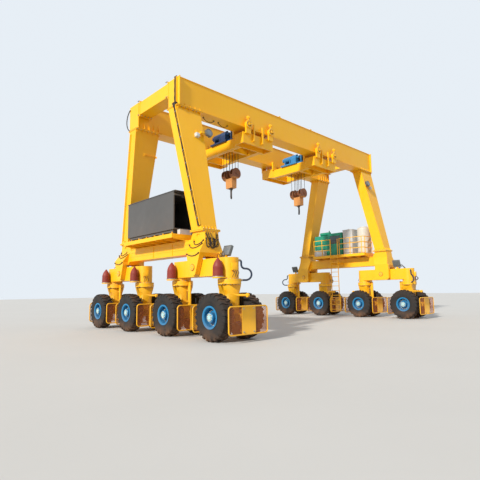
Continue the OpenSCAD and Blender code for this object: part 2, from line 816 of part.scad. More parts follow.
// The square tank's lid with its filler cap
module square_tank_lid() {
    x = tank_x1 - tank_x0;
    color("white") on_frame(FAR) translate([tank_x0 + x / 2, tank_y0 + tank_l / 2, deck_top + tank_h]) union() {
        linear_extrude(lid_t) round_rect(x + 2 * lid_out, tank_l + 2 * lid_out, tank_r + lid_out);
        translate([x * 0.2, 0, lid_t - EPS]) cylinder(r = cap_r, h = cap_h);
    }
}

// The round cream tank: a shell with a rounded shoulder and a manhole
module round_tank() {
    r = drum_tank_r;
    h = drum_tank_h;
    s = shoulder;
    t = tank_t;
    color("linen") on_frame(FAR) translate([drum_tank_x, drum_tank_y, deck_top]) rotate_extrude($fn = 64) difference() {
        union() {
            square([r, h - s]);
            square([r - s, h]);
            translate([r - s, h - s]) circle(r = s);
        }
        translate([-1, t]) square([r - t + 1, h - s - t]);
        translate([-1, t]) square([r - s + 1, h - 2 * t]);
        translate([r - s, h - s]) circle(r = s - t);
        translate([-1, h - s]) square([manhole_r + 1, s + 1]);
        translate([-r, -1]) square([r, h + 2]);
    }
}

// The round tank's manhole lid
module round_tank_lid() {
    color("linen") on_frame(FAR) translate([drum_tank_x, drum_tank_y, deck_top + drum_tank_h]) union() {
        cylinder(r = manhole_r + 30, h = manhole_t);
        translate([0, 0, manhole_t - EPS]) cylinder(r = 60, h = 30);
    }
}

// The two small boxes on the decks
module deck_boxes() {
    color("white") {
        on_frame(NEAR) translate([near_box_x, deck_front + 25, deck_top]) cube(near_box);
        on_frame(FAR) translate([rail_x - rail_d - far_box[0], deck_back - 20 - far_box[1], deck_top]) cube(far_box);
    }
}

// The floodlights, each on an arm bolted to the front face of a front leg
module floodlights() {
    reach = leg_in_x(leg_top_z) + lamp_arm;
    color(steel) for (end = [NEAR, FAR]) on_frame(end)
        translate([0, -leg_out_y(lamp_z) - seat_gap, lamp_z]) rotate([-leg_lean, 0, 0]) union() {
            block([150, -30, -120], [400, 0, 120]);
            block([300, -lamp_out, -40], [reach, -30 + EPS, 40]);
            translate([reach, -lamp_out, 0]) rotate([90, 0, 0]) {
                translate([0, 0, -60]) cylinder(r1 = lamp_r * 0.55, r2 = lamp_r, h = 110);
                translate([0, 0, 50 - EPS]) cylinder(r = lamp_r, h = 45);
            }
            translate([60, -lamp_box[1], -lamp_box[2] - 60]) cube(lamp_box);
            block([150, -30, -lamp_box[2]], [240, 0, -100]);
        }
}

// The cable runs that the frame holds: a tray down the near front leg, a loop, and festoons
module cables() {
    z1 = leg_top_z - leg_plate_t - 10;
    z2 = tray_foot_z;
    w = tray_w / 2;
    a = leg_out_y(z1) - tray_in;
    b = leg_out_y(z2) - tray_in;
    face = leg_out_x(leg_top_z) - plate_rim_out - seat_gap;
    end_x = -girder_overhang - seat_gap;
    color("black") {
        on_frame(NEAR) union() {
            intersection() {
                prism_x([[-b - w, z2], [-b + w, z2], [-a + w, z1], [-a - w, z1]], -leg_top_x, 0);
                prism_y([[leg_out_x(z2) - seat_gap, z2], [leg_out_x(z1) - seat_gap, z1],
                         [leg_out_x(z1) - seat_gap - tray_t, z1], [leg_out_x(z2) - seat_gap - tray_t, z2]],
                        -leg_out_y(0), 0);
            }
            block([face - tray_t, -a - w, z1 - 60], [face, -a + w, leg_top_z + 60]);
            block([face - tray_t, -a - w, leg_top_z + 20], [end_x, -tray_end_y + w, leg_top_z + 60 + tray_t]);
            block([end_x - tray_t, -tray_end_y - w, leg_top_z + 60], [end_x, -tray_end_y + w, girder_top + 40]);
        }
        on_frame(NEAR) translate([end_x - cable_r, loop_y, loop_z]) rotate([90, 0, 90])
            bend(loop_r, -loop_half, 2 * loop_half, 2 * cable_r);
        for (f = festoons) festoon(f[0], f[1]);
        for (side = [FRONT, BACK]) on_frame(NEAR) on_side(side) corner_hoses();
    }
}

// The hoses that hang on a corner: two on its sloping outer face, one below them, and loops on its end face
module corner_hoses() {
    slope = atan((fork_half + box_out_x) / (box_low_z - arm_top_z - 50));
    out = clamp / 2 + seat_gap;
    for (s = swags) translate([box_out_x, 0, box_low_z]) rotate([0, slope, 0]) translate([-out, 0, -s[0]])
        bow_y(s[1], s[2], s[3]);
    translate([-fork_half - out, 0, low_swag[0]]) bow_y(low_swag[1], low_swag[2], low_swag[3]);
    top_out = -leg_out_y(leg_foot_z) - box_rim;
    lean = atan((pin_y + arm_w + top_out) / (leg_foot_z - arm_top_z));
    translate([0, -pin_y - arm_w, arm_top_z]) rotate([-lean, 0, 0])
        for (u = loops) translate([u[0], -out, u[1] - arm_top_z]) u_loop(u[2], u[3]);
}

// A hose in a bow between two clamps, along Y
module bow_y(y0, y1, sag) {
    translate([0, (y0 + y1) / 2, 0]) rotate([0, 0, 90]) bow((y1 - y0) / 2, sag, hose_r);
}

// A cable in a bow between two clamps, along X
module bow(c, sag, rad) {
    r = (c * c + sag * sag) / (2 * sag);
    half = asin(c / r);
    union() {
        translate([0, 0, r - sag]) rotate([90, 0, 0]) bend(r, 270 - half, 2 * half, 2 * rad);
        for (s = [-1, 1]) translate([s * c, 0, 0]) cube(clamp, center = true);
    }
}

// A hose that hangs in a narrow loop from two clamps
module u_loop(r, drop) {
    union() {
        translate([0, 0, -drop]) rotate([90, 0, 0]) bend(r, 180, 180, 2 * hose_r);
        for (s = [-1, 1]) translate([s * r, 0, 0]) {
            translate([0, 0, -drop]) cylinder(r = hose_r, h = drop);
            cube(clamp, center = true);
        }
    }
}

// A cable that hangs in a bow between two clamps under the front girder
module festoon(x0, x1) {
    translate([(x0 + x1) / 2, -girder_mid_y, girder_z - seat_gap - clamp / 2])
        bow((x1 - x0) / 2, festoon_sag, festoon_r);
}

// A rocking beam with rounded ends, its pin, slewing turrets, bellows covers and a lamp
module equaliser(end, side) {
    h = eq_top_z - eq_low_z;
    color(paint) on_frame(end) on_side(side) translate([0, -pin_y, 0]) union() {
        block([-eq_half, -strut_gap / 2, eq_low_z], [eq_half, strut_gap / 2, eq_top_z]);
        for (s = [-1, 1]) translate([0, s * strut_gap / 2, 0]) {
            translate([0, 0, eq_low_z]) cylinder(r = eq_half, h = h);
            translate([0, 0, slew_z + slew_t]) cylinder(r = turret_r, h = h);
            translate([0, 0, slew_z]) cylinder(r = slew_r, h = slew_t + EPS);
            block([-cover_x, -shelf_r, shelf_z], [0, shelf_r, shelf_z + shelf_t]);
            translate([-cover_x, 0, shelf_z]) cylinder(r = shelf_r, h = shelf_t);
            translate([-cover_x, 0, shelf_z + shelf_t - EPS]) cover();
        }
        translate([0, -strut_gap / 2, 0]) rotate([0, 0, steer_hose_turn]) steer_hose();
        translate([0, 0, pin_z]) rod_x(pin_d / 2, 2 * (fork_half + pin_head));
        for (s = [-1, 1]) translate([s * (fork_half + seat_gap + pin_head_t / 2), 0, pin_z])
            rod_x(pin_d / 2 + pin_head, pin_head_t);
        translate([beacon_x, -beacon_y, eq_top_z]) {
            block([-25, -60, -EPS], [25, 60, 160]);
            translate([0, 0, 120]) rotate([0, beacon_lean, 0])
                block([-beacon[0] / 2, -beacon[1] / 2, 0], [beacon[0] / 2, beacon[1] / 2, beacon[2]]);
        }
    }
}

// The steering hose, in a double curve from an equaliser's end down to its slewing flange
module steer_hose() {
    d = 2 * steer_hose_r;
    e = steer_hose_elbow;
    mid = steer_hose_drop + steer_hose_bend;
    low = steer_hose_top - e - steer_hose_fall - steer_hose_bend;
    run = mid + steer_hose_run;
    translate([eq_half - bite, 0, steer_hose_top]) rotate([0, 90, 0]) cylinder(d = d, h = steer_hose_drop - e - eq_half + bite);
    translate([steer_hose_drop - e, 0, steer_hose_top - e]) rotate([90, 0, 0]) bend(e, 0, 90, d);
    translate([steer_hose_drop, 0, low + steer_hose_bend]) cylinder(d = d, h = steer_hose_fall);
    translate([mid, 0, low + steer_hose_bend]) rotate([90, 0, 0]) bend(steer_hose_bend, 180, 90, d);
    translate([mid, 0, low]) rotate([0, 90, 0]) cylinder(d = d, h = steer_hose_run);
    translate([run, 0, low - steer_hose_loop]) rotate([90, 0, 0]) bend(steer_hose_loop, -90, 180, d);
    translate([slew_r - bite, 0, low - 2 * steer_hose_loop]) rotate([0, 90, 0]) cylinder(d = d, h = run - slew_r + bite);
}

// A bellows cover with a pointed dome
module cover() {
    r = cover_r;
    h = cover_h;
    rotate_extrude() polygon([
        [0, 0], [r, 0], [r, h * 0.08], [r * 0.93, h * 0.1], [r * 0.93, h * 0.52], [r * 0.84, h * 0.66],
        [r * 0.66, h * 0.8], [r * 0.4, h * 0.92], [r * 0.18, h * 0.985], [0, h],
    ]);
}

// A steered strut: slewing flange, shouldered column, axle boss, steering arm and the two guards
module strut(end, i) {
    w = column_x / 2;
    v = column_top_x / 2;
    color(paint) on_strut(end, i) difference() {
        union() {
            translate([0, 0, strut_top]) cylinder(r = slew_r, h = slew_t);
            prism_y([[-w, axle_z], [w, axle_z], [w, shoulder_z], [v, strut_top - 60], [v, strut_top + EPS],
                     [-v, strut_top + EPS], [-v, strut_top - 60], [-w, shoulder_z]], -column_y / 2, column_y / 2);
            prism_y([[-slew_r + 20, strut_top + EPS], [-w + bite, shoulder_z - 100], [-v, strut_top + EPS]],
                    -gusset_t, gusset_t);
            translate([0, 0, axle_z]) rod_x(boss_r, 2 * boss_half);
            steering_arm();
            for (s = [-1, 1]) guard(s);
        }
        translate([0, 0, axle_z]) rod_x(axle_d / 2 + pin_gap, 2 * boss_half + 2);
    }
}

// The lock plate beside the column and the steering tube opposite it
module steering_arm() {
    clear = slew_r + fin_clear;
    prism_x([[fin_in, fin_low_z], [fin_out, fin_low_z], [fin_out, fin_high_z], [clear, fin_high_z],
             [clear, strut_top - 10], [fin_in, strut_top - 60]], -fin_t / 2, fin_t / 2);
    for (z = [fin_low_z + 90, strut_top - 230])
        block([-arm_t / 2, column_y / 2 - bite, z], [arm_t / 2, fin_in + arm_t, z + arm_t]);
    translate([steer_tube_x, 0, steer_tube_z]) span_y(steer_tube_d / 2, -steer_tube_end, -column_y / 2 + 40);
    translate([steer_tube_x, -steer_tube_end, steer_tube_z]) rod_x(steer_tube_d * 0.75, steer_tube_d * 0.8);
}

// A wheel guard on its arm: a bent tube frame, a solid middle plate, hinge lugs and a mesh each side
module guard(s) {
    t = guard_tube;
    w = guard_w / 2 - t / 2;
    z0 = guard_z + t / 2;
    z1 = guard_z + guard_h - t / 2;
    zm = (z0 + z1) / 2;
    h = (z1 - z0) / 2;
    r = guard_r;
    y = s * guard_y;
    translate([0, y, zm]) {
        for (u = [-1, 1]) {
            translate([0, 0, u * h]) rod_x(t / 2, 2 * (w - r));
            translate([u * w, 0, -h + r]) cylinder(d = t, h = 2 * (h - r));
        }
        for (k = [0:3]) rotate([90, 0, 0]) translate([(k == 0 || k == 3 ? 1 : -1) * (w - r), (k < 2 ? 1 : -1) * (h - r), 0])
            bend(r, 90 * k, 90, t);
        block([-plate_half, -plate_t / 2, -h], [plate_half, plate_t / 2, h]);
        for (u = [-1, 1], v = [-0.7, 0, 0.7])
            block([u * plate_half - hinge_w / 2, min(0, -s * t), v * h - hinge_w], [u * plate_half + hinge_w / 2, max(0, -s * t), v * h + hinge_w]);
        mesh(w, h);
    }
    block([-column_x / 2 + 60, min(0, y), axle_z - 120], [column_x / 2 - 60, max(0, y), axle_z + 120]);
}

// The expanded mesh on both sides of a guard's middle plate, as a sheet with diamond openings
module mesh(w, h) {
    p = mesh_pitch;
    d = (p - mesh_web) / sqrt(2);
    x0 = plate_half;
    nx = ceil((w - x0) / p);
    nz = ceil(h / p);
    rotate([90, 0, 0]) linear_extrude(mesh_t, center = true) difference() {
        round_rect(2 * w, 2 * h, guard_r);
        square([2 * plate_half - 2, 2 * h + 2], center = true);
        for (u = [-1, 1], k = [0:nx], j = [-nz:nz]) for (o = [0, 1]) {
            x = x0 + (k + o / 2) * p;
            z = (j + o / 2) * p;
            if (x > x0 + p * 0.4 && x < w - p * 0.4 && abs(z) < h - p * 0.4)
                translate([u * x, z]) rotate(45) square(d, center = true);
        }
    }
}

// Half of the tyre's cross-section, from the bead to the middle of the tread
function tyre_half_profile(r_in, r_out, w) = [
    [r_in, 0], [r_in, w * 0.36], [r_in + 40, w * 0.40], [(r_in + r_out) / 2 - 20, w / 2],
    [r_out - 150, w / 2 - 4], [r_out - 50, w * 0.45], [r_out - 12, w * 0.38], [r_out, w * 0.2], [r_out, 0],
];

// The two tyres on one axle
module tyres(end, i) {
    half = tyre_half_profile(rim_d / 2 - 60 + seat_gap, tyre_d / 2, tyre_w);
    n = len(half);
    outline = concat(half, [for (k = [n - 2:-1:1]) [half[k][0], -half[k][1]]]);
    color("black") translate([end * half_span, strut_y[i - 1], axle_z])
        for (s = [-1, 1]) translate([s * tyre_x, 0, 0]) rotate([0, 90, 0]) rotate_extrude($fn = 96) polygon(outline);
}

// The two rims with their hubs, on one axle
module rims(end, i) {
    r = rim_d / 2;
    w = tyre_w;
    color("steelblue") translate([end * half_span, strut_y[i - 1], axle_z]) union() {
        rod_x(axle_d / 2, 2 * tyre_x);
        for (s = [-1, 1]) translate([s * tyre_x, 0, 0]) mirror([s < 0 ? 1 : 0, 0, 0]) rotate([0, 90, 0]) {
            rotate_extrude($fn = 64) polygon([
                [r - 100, -w * 0.36], [r - 60, -w * 0.36], [r - 60, w * 0.36], [r - 20, w * 0.42],
                [r - 20, w * 0.45], [r - 80, w * 0.45], [r - 100, w * 0.38], [r - 100, 30], [0, 30], [0, -60], [r - 100, -60],
            ]);
            cylinder(r = 170, h = w * 0.4);
            translate([0, 0, w * 0.4 - EPS]) cylinder(r1 = 150, r2 = 120, h = 25);
        }
    }
}

// A trolley frame of end beams, side beams and cross members, hung under the girders' lips
module trolley(x) {
    l = trolley_half;
    e = trolley_end_y;
    d = end_beam_d;
    k = side_in;
    ring = [
        [-l, -e], [l, -e], [l, -e + d], [l - k, -e + d + k], [l - k, e - d - k], [l, e - d],
        [l, e], [-l, e], [-l, e - d], [-l + k, e - d - k], [-l + k, -e + d + k], [-l, -e + d],
    ];
    inner = l - k - side_w;
    color(paint) translate([x, 0, 0]) union() {
        difference() {
            translate([0, 0, trolley_z]) linear_extrude(trolley_h) polygon(ring);
            block([-inner, -e + d, trolley_z - 1], [inner, e - d, trolley_top + 1]);
            pair([-l - 1, -e + d + k / 2, beam_top], [l + 1, 0, trolley_top + 1]);
            pair([-l + well_rim, -e + well_rim, trolley_z - 1], [l - well_rim, -e + d - well_rim, trolley_z + well_h]);
        }
        pair([-inner - EPS, cross_y - cross_w / 2, trolley_z + 60], [inner + EPS, cross_y + cross_w / 2, beam_top]);
        for (s = [FRONT, BACK]) on_side(s) {
            for (u = [-1, 1]) hanger(u * runner_x);
            for (p = post_x) post(p);
        }
        translate([0, 0, nest_z]) {
            rod_y(sheave_pin_r, 2 * cross_y);
            for (i = [-1.5:1:1.5]) translate([0, i * fall_pitch, 0]) sheave();
        }
    }
}

// A grooved rope sheave on an axis along Y
module sheave() {
    g = rope_d / 2 + groove;
    rod_y(sheave_r, sheave_w);
    for (s = [-1, 1]) translate([0, s * (g + sheave_w / 2) / 2, 0]) rod_y(sheave_r + sheave_rim, sheave_w / 2 - g);
}

// Hanger plates outside a girder's two lips, each with a wheel that runs on the lip
module hanger(x) {
    for (y = [lip_out_y + hanger_gap, lip_in_y - hanger_gap - hanger_t])
        block([x - hanger_w / 2, -y - hanger_t, trolley_top - 80], [x + hanger_w / 2, -y, hanger_top]);
    block([x - hanger_w / 2, -lip_out_y - hanger_gap - hanger_t, trolley_top - 80],
          [x + hanger_w / 2, -trolley_end_y + bite, trolley_top - 20]);
    for (y = [lip_out_y - lip_w / 2 + 12, lip_in_y + lip_w / 2 - 12])
        translate([x, -y, runner_z]) rod_y(runner_d / 2, lip_w - 6);
}

// A guide post on a trolley's end face, with its foot
module post(x) {
    y = -lip_out_y - hanger_gap;
    block([x - post_w / 2, y - 70, post_low], [x + post_w / 2, y, post_high]);
    block([x - post_w * 0.8, y - 70, post_low], [x + post_w * 0.8, -trolley_end_y + bite, post_low + 40]);
    block([x - post_w / 2, y - EPS, post_low], [x + post_w / 2, -trolley_end_y + bite, trolley_top - 40]);
}

// The hoist winch on a trolley: skids, drum on stands, gearbox, motor with its brake, and a cable mast
module winch(x, shade) {
    base = beam_top + seat_gap;
    z = base + skid_beam_h + drum_r + 40;
    reach = trolley_half - side_in;
    color(shade) translate([x, 0, 0]) union() {
        for (y = [drum_low - stand_t, drum_high + stand_t])
            block([-reach, y - 60, base], [reach, y + 60, base + skid_beam_h]);
        translate([drum_x, 0, z]) {
            span_y(drum_r - 40, drum_low, drum_high);
            for (y = [drum_low, drum_high - 40]) span_y_at(drum_r, y, 40);
            span_y(60, drum_low - 2 * stand_t, drum_high + 2 * stand_t);
        }
        for (y = [drum_low - stand_t, drum_high + stand_t])
            prism_y([[drum_x - drum_r, base + EPS], [drum_x + drum_r, base + EPS], [drum_x + 90, z + 90], [drum_x - 90, z + 90]],
                    y - stand_t / 2, y + stand_t / 2);
        block([motor_x - 170, -650, base], [motor_x + 120, 540, base + skid_beam_h]);
        prism_y([[motor_x - 160, base + skid_beam_h - EPS], [motor_x + 110, base + skid_beam_h - EPS],
                 [motor_x + 110, z + 60], [motor_x + 20, z + 190], [motor_x - 100, z + 120], [motor_x - 160, z - 60]], -620, -240);
        translate([motor_x, 0, z]) {
            span_y(motor_r, -240 - EPS, 330);
            span_y(motor_r * 0.75, 330 - EPS, 450);
            span_y(60, -760, -620 + EPS);
        }
        for (y = [-120, 260]) block([motor_x - 110, y - 30, base + skid_beam_h - EPS], [motor_x + 110, y + 30, z - motor_r / 2]);
        block([motor_x - 40, mast_y - 180, base], [motor_x + 40, -640, base + skid_beam_h]);
        block([motor_x - 30, mast_y - 30, base + EPS], [motor_x + 30, mast_y + 30, z + 330]);
    }
}

// A disc of a given thickness on an axis along Y
module span_y_at(r, y, t) {
    span_y(r, y, y + t);
}

// The falls of hoist rope between a trolley and its hook block
module ropes(x, low) {
    color("black") translate([x, 0, 0]) for (i = [-1.5:1:1.5], u = [-1, 1])
        translate([u * rope_x, i * fall_pitch, rope_low - low]) cylinder(d = rope_d, h = nest_z - rope_low + low);
}

// A hook block: four sheaves on an axle between cheeks, and the neck box that takes the hook's shank
module hook_block(x, low) {
    r = block_d / 2;
    e = block_w / 2;
    n = fall_pitch + cheek_t / 2;
    color("goldenrod") translate([x, 0, axle_mid - low]) difference() {
        union() {
            rod_y(sheave_pin_r, block_w + 60);
            for (i = [-1.5:1:1.5]) translate([0, i * fall_pitch, 0]) sheave();
            for (s = [0, 1]) mirror([0, s, 0]) {
                span_y(r, e - cheek_t, e);
                span_y(r, fall_pitch - cheek_t / 2, n);
                difference() {
                    span_y(r - 8, fall_pitch, e - EPS);
                    span_y(r - 24, 0, e + 1);
                    block([-r, 0, -r * 0.25], [r, e + 1, r]);
                }
            }
            difference() {
                prism_y([[-neck_x / 2, neck_low - axle_mid], [neck_x / 2, neck_low - axle_mid], [neck_x / 2 + 20, -r * 0.8],
                         [-neck_x / 2 - 20, -r * 0.8]], -n, n);
                rod_y(r - 16, 2 * n - 2 * cheek_t);
            }
        }
        translate([0, 0, neck_low - axle_mid - 1]) cylinder(r = shank_r + pin_gap, h = shank_in + 20);
    }
}

// Points and widths of the hook's centre line: its angle round the bowl gives distance and thickness
function hook_angle(k) = 90 + 300 * k / hook_steps;
function hook_far(a) = a < 170 ? hook_r + (hook_neck - hook_r) * pow((170 - a) / 80, 2) : hook_r + 40 * max(0, (a - 330) / 60);
function hook_mid(k) = [hook_far(hook_angle(k)) * cos(hook_angle(k)), hook_far(hook_angle(k)) * sin(hook_angle(k))];
function hook_deep(k) = let (a = hook_angle(k)) a < 270 ? 50 + 22 * (a - 90) / 180 : 72 - 52 * pow((a - 270) / 120, 1.2);
function hook_wide(k) = let (a = hook_angle(k)) a < 270 ? 50 - 2 * (a - 90) / 180 : 48 - 30 * pow((a - 270) / 120, 1.2);

// One ring of the hook's surface
function hook_ring(k) = let (
    a = hook_mid(max(0, k - 1)), b = hook_mid(min(hook_steps, k + 1)), c = hook_mid(k),
    v = k == 0 ? [0, -1] : (b - a) / norm(b - a), n = [v[1], -v[0]]
) [for (j = [0:hook_sides - 1]) let (q = 360 * j / hook_sides)
    [c[0] + n[0] * hook_deep(k) * cos(q), hook_wide(k) * sin(q), c[1] + n[1] * hook_deep(k) * cos(q)]];

// The hook: shank, collar and a bowl that tapers to its tip
module hook(x, low) {
    n = hook_sides;
    rings = [for (k = [0:hook_steps]) each hook_ring(k)];
    sides = [for (k = [0:hook_steps - 1], j = [0:n - 1]) let (a = k * n + j, b = k * n + (j + 1) % n)
        each [[a, a + n, b], [b, a + n, b + n]]];
    ends = [[for (j = [0:n - 1]) j], [for (j = [n - 1:-1:0]) hook_steps * n + j]];
    color(dark) translate([x, 0, neck_low - low]) rotate([0, 0, 45]) union() {
        translate([0, 0, -collar_h - 40]) cylinder(r = shank_r, h = collar_h + 40 + shank_in);
        translate([0, 0, -collar_h - seat_gap]) cylinder(r = collar_r, h = collar_h);
        translate([0, 0, -collar_h - hook_neck]) polyhedron(points = rings, faces = concat(sides, ends));
    }
}

girder(FRONT);  // girder_front
girder(BACK);  // girder_back
end_ties();
leg(NEAR, FRONT);  // leg_near_front
leg(NEAR, BACK);  // leg_near_back
leg(FAR, FRONT);  // leg_far_front
leg(FAR, BACK);  // leg_far_back
lower_frame(NEAR);  // lower_frame_near
lower_frame(FAR);  // lower_frame_far
platform(NEAR);  // platform_near
enclosure();
platform(FAR);  // platform_far
handrail();
ladder();
deck_boxes();
generator();
square_tank();
square_tank_lid();
round_tank();
round_tank_lid();
floodlights();
cables();
equaliser(NEAR, FRONT);  // equaliser_near_front
equaliser(NEAR, BACK);  // equaliser_near_back
equaliser(FAR, FRONT);  // equaliser_far_front
equaliser(FAR, BACK);  // equaliser_far_back
for (i = STRUTS) {
    strut(NEAR, i);
    strut(FAR, i);
    tyres(NEAR, i);
    tyres(FAR, i);
    rims(NEAR, i);
    rims(FAR, i);
}
trolley(trolley_1_x);  // trolley_1
trolley(trolley_2_x);  // trolley_2
winch(trolley_1_x, "midnightblue");  // winch_1
winch(trolley_2_x, "steelblue");  // winch_2
ropes(trolley_1_x, 0);  // ropes_1
ropes(trolley_2_x, block_2_low);  // ropes_2
hook_block(trolley_1_x, 0);  // hook_block_1
hook_block(trolley_2_x, block_2_low);  // hook_block_2
hook(trolley_1_x, 0);  // hook_1
hook(trolley_2_x, block_2_low);  // hook_2
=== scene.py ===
"""Rubber tyred gantry crane: finishes, small fittings and light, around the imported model."""
import json
from math import atan, cos, degrees, pi, radians, sin, sqrt

import bmesh
import bpy
from mathutils import Matrix, Vector


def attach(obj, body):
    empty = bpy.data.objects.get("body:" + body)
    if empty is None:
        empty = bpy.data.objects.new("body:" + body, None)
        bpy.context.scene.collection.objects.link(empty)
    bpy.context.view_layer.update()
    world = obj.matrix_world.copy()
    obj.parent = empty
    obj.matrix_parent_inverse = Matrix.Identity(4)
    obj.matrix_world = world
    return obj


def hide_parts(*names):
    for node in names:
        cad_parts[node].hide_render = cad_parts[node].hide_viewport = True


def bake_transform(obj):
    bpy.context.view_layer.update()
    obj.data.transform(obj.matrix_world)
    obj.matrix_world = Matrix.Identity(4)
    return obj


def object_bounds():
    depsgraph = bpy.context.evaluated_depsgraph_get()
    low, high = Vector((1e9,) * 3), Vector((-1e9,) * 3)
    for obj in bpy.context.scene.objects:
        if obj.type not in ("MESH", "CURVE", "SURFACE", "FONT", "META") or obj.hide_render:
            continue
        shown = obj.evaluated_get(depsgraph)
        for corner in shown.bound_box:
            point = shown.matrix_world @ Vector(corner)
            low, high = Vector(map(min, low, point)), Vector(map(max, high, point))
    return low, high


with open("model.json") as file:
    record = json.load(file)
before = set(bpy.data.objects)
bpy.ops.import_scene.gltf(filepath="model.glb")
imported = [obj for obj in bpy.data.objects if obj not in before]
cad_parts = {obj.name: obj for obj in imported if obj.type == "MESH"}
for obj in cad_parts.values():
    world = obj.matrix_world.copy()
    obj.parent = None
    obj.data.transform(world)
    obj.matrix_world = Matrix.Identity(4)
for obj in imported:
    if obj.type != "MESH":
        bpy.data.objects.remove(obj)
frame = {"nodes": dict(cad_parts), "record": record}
cad_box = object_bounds()
NODES = frame["nodes"]
BODY_OF = {n: b for b, names in frame["record"]["behaviour"]["bodies"].items() for n in names}

# Sizes of the crane, in metres, as the source has them
HALF_SPAN = 7.05
GIRDER_LOW = 9.36
LEG_FOOT = 4.045
LEG_PLATE = 0.04
LEG_IN_TOP = 1.351
LEG_IN_FOOT = 2.5635
PIN_Y = 2.944
PIN_Z = 2.606
PIN_END = 0.5782
EQUALISER_TOP = 2.895
STRUT_OFF = 1.437
STRUT_Y = (-4.381, -1.507, 1.507, 4.381)
SLEW_Z = 2.04
SLEW_T = 0.09
SLEW_BOLTS_R = 0.381
AXLE_Z = 0.825
TYRE_X = 0.699
TYRE_R = 0.825
TYRE_W = 0.5
RIM_R = 0.415
GUARD_Y = 0.96
GUARD_HALF = 0.901
GUARD_MID_Z = 0.735
GUARD_HALF_H = 0.461
GUARD_BEND = 0.12
PLATE_HALF = 0.315
TROLLEY_X = {1: -2.98, 2: 2.49}
BLOCK_AXLE_Z = {1: 7.67, 2: 7.49}
GENSET_FRONT = 6.5
LAMP_Z = 8.26

ENDS = ("near", "far")
SIDES = ("front", "back")
SHARP_ANGLE = radians(32)
FAR_CLIP = 400.0

# The camera stands where the photograph was taken, at a person's eye height
CAMERA_PLACE = (-16.856, -15.457, 1.699)
CAMERA_TURN = 0.7516
CAMERA_TILT = 0.1234
CAMERA_ROLL = 0.0141
CAMERA_LENS = 30.94
SENSOR = 36.0


def placed(name, data):
    """A new object in the scene."""
    item = bpy.data.objects.new(name, data)
    bpy.context.scene.collection.objects.link(item)
    return item


def make_camera():
    data = bpy.data.cameras.new("camera")
    data.lens = CAMERA_LENS
    data.sensor_width = SENSOR
    data.clip_end = FAR_CLIP
    camera = placed("camera", data)
    turn = Matrix.Rotation(-CAMERA_TURN, 3, "Z")
    tilt = Matrix.Rotation(pi / 2 + CAMERA_TILT, 3, "X")
    roll = Matrix.Rotation(-CAMERA_ROLL, 3, "Z")
    camera.matrix_world = Matrix.Translation(CAMERA_PLACE) @ (turn @ tilt @ roll).to_4x4()
    bpy.context.scene.camera = camera


make_camera()


# Finishes

DUST = (0.42, 0.2, 0.09)
RUST = (0.16, 0.07, 0.035)
CHIP = (0.16, 0.07, 0.04)


def toned(colour, share):
    return tuple(min(1.0, c * share) for c in colour)


class Nodes:
    """What a material's tree and a Geometry Nodes tree have in common."""

    def add(self, kind, **settings):
        node = self.tree.nodes.new(kind)
        for key, value in settings.items():
            setattr(node, key, value)
        return node

    def join(self, source, socket):
        if hasattr(source, "links"):
            self.tree.links.new(source, socket)
        else:
            socket.default_value = source

    def math(self, kind, a, b=0.0):
        node = self.add("ShaderNodeMath", operation=kind)
        self.join(a, node.inputs[0])
        self.join(b, node.inputs[1])
        return node.outputs[0]


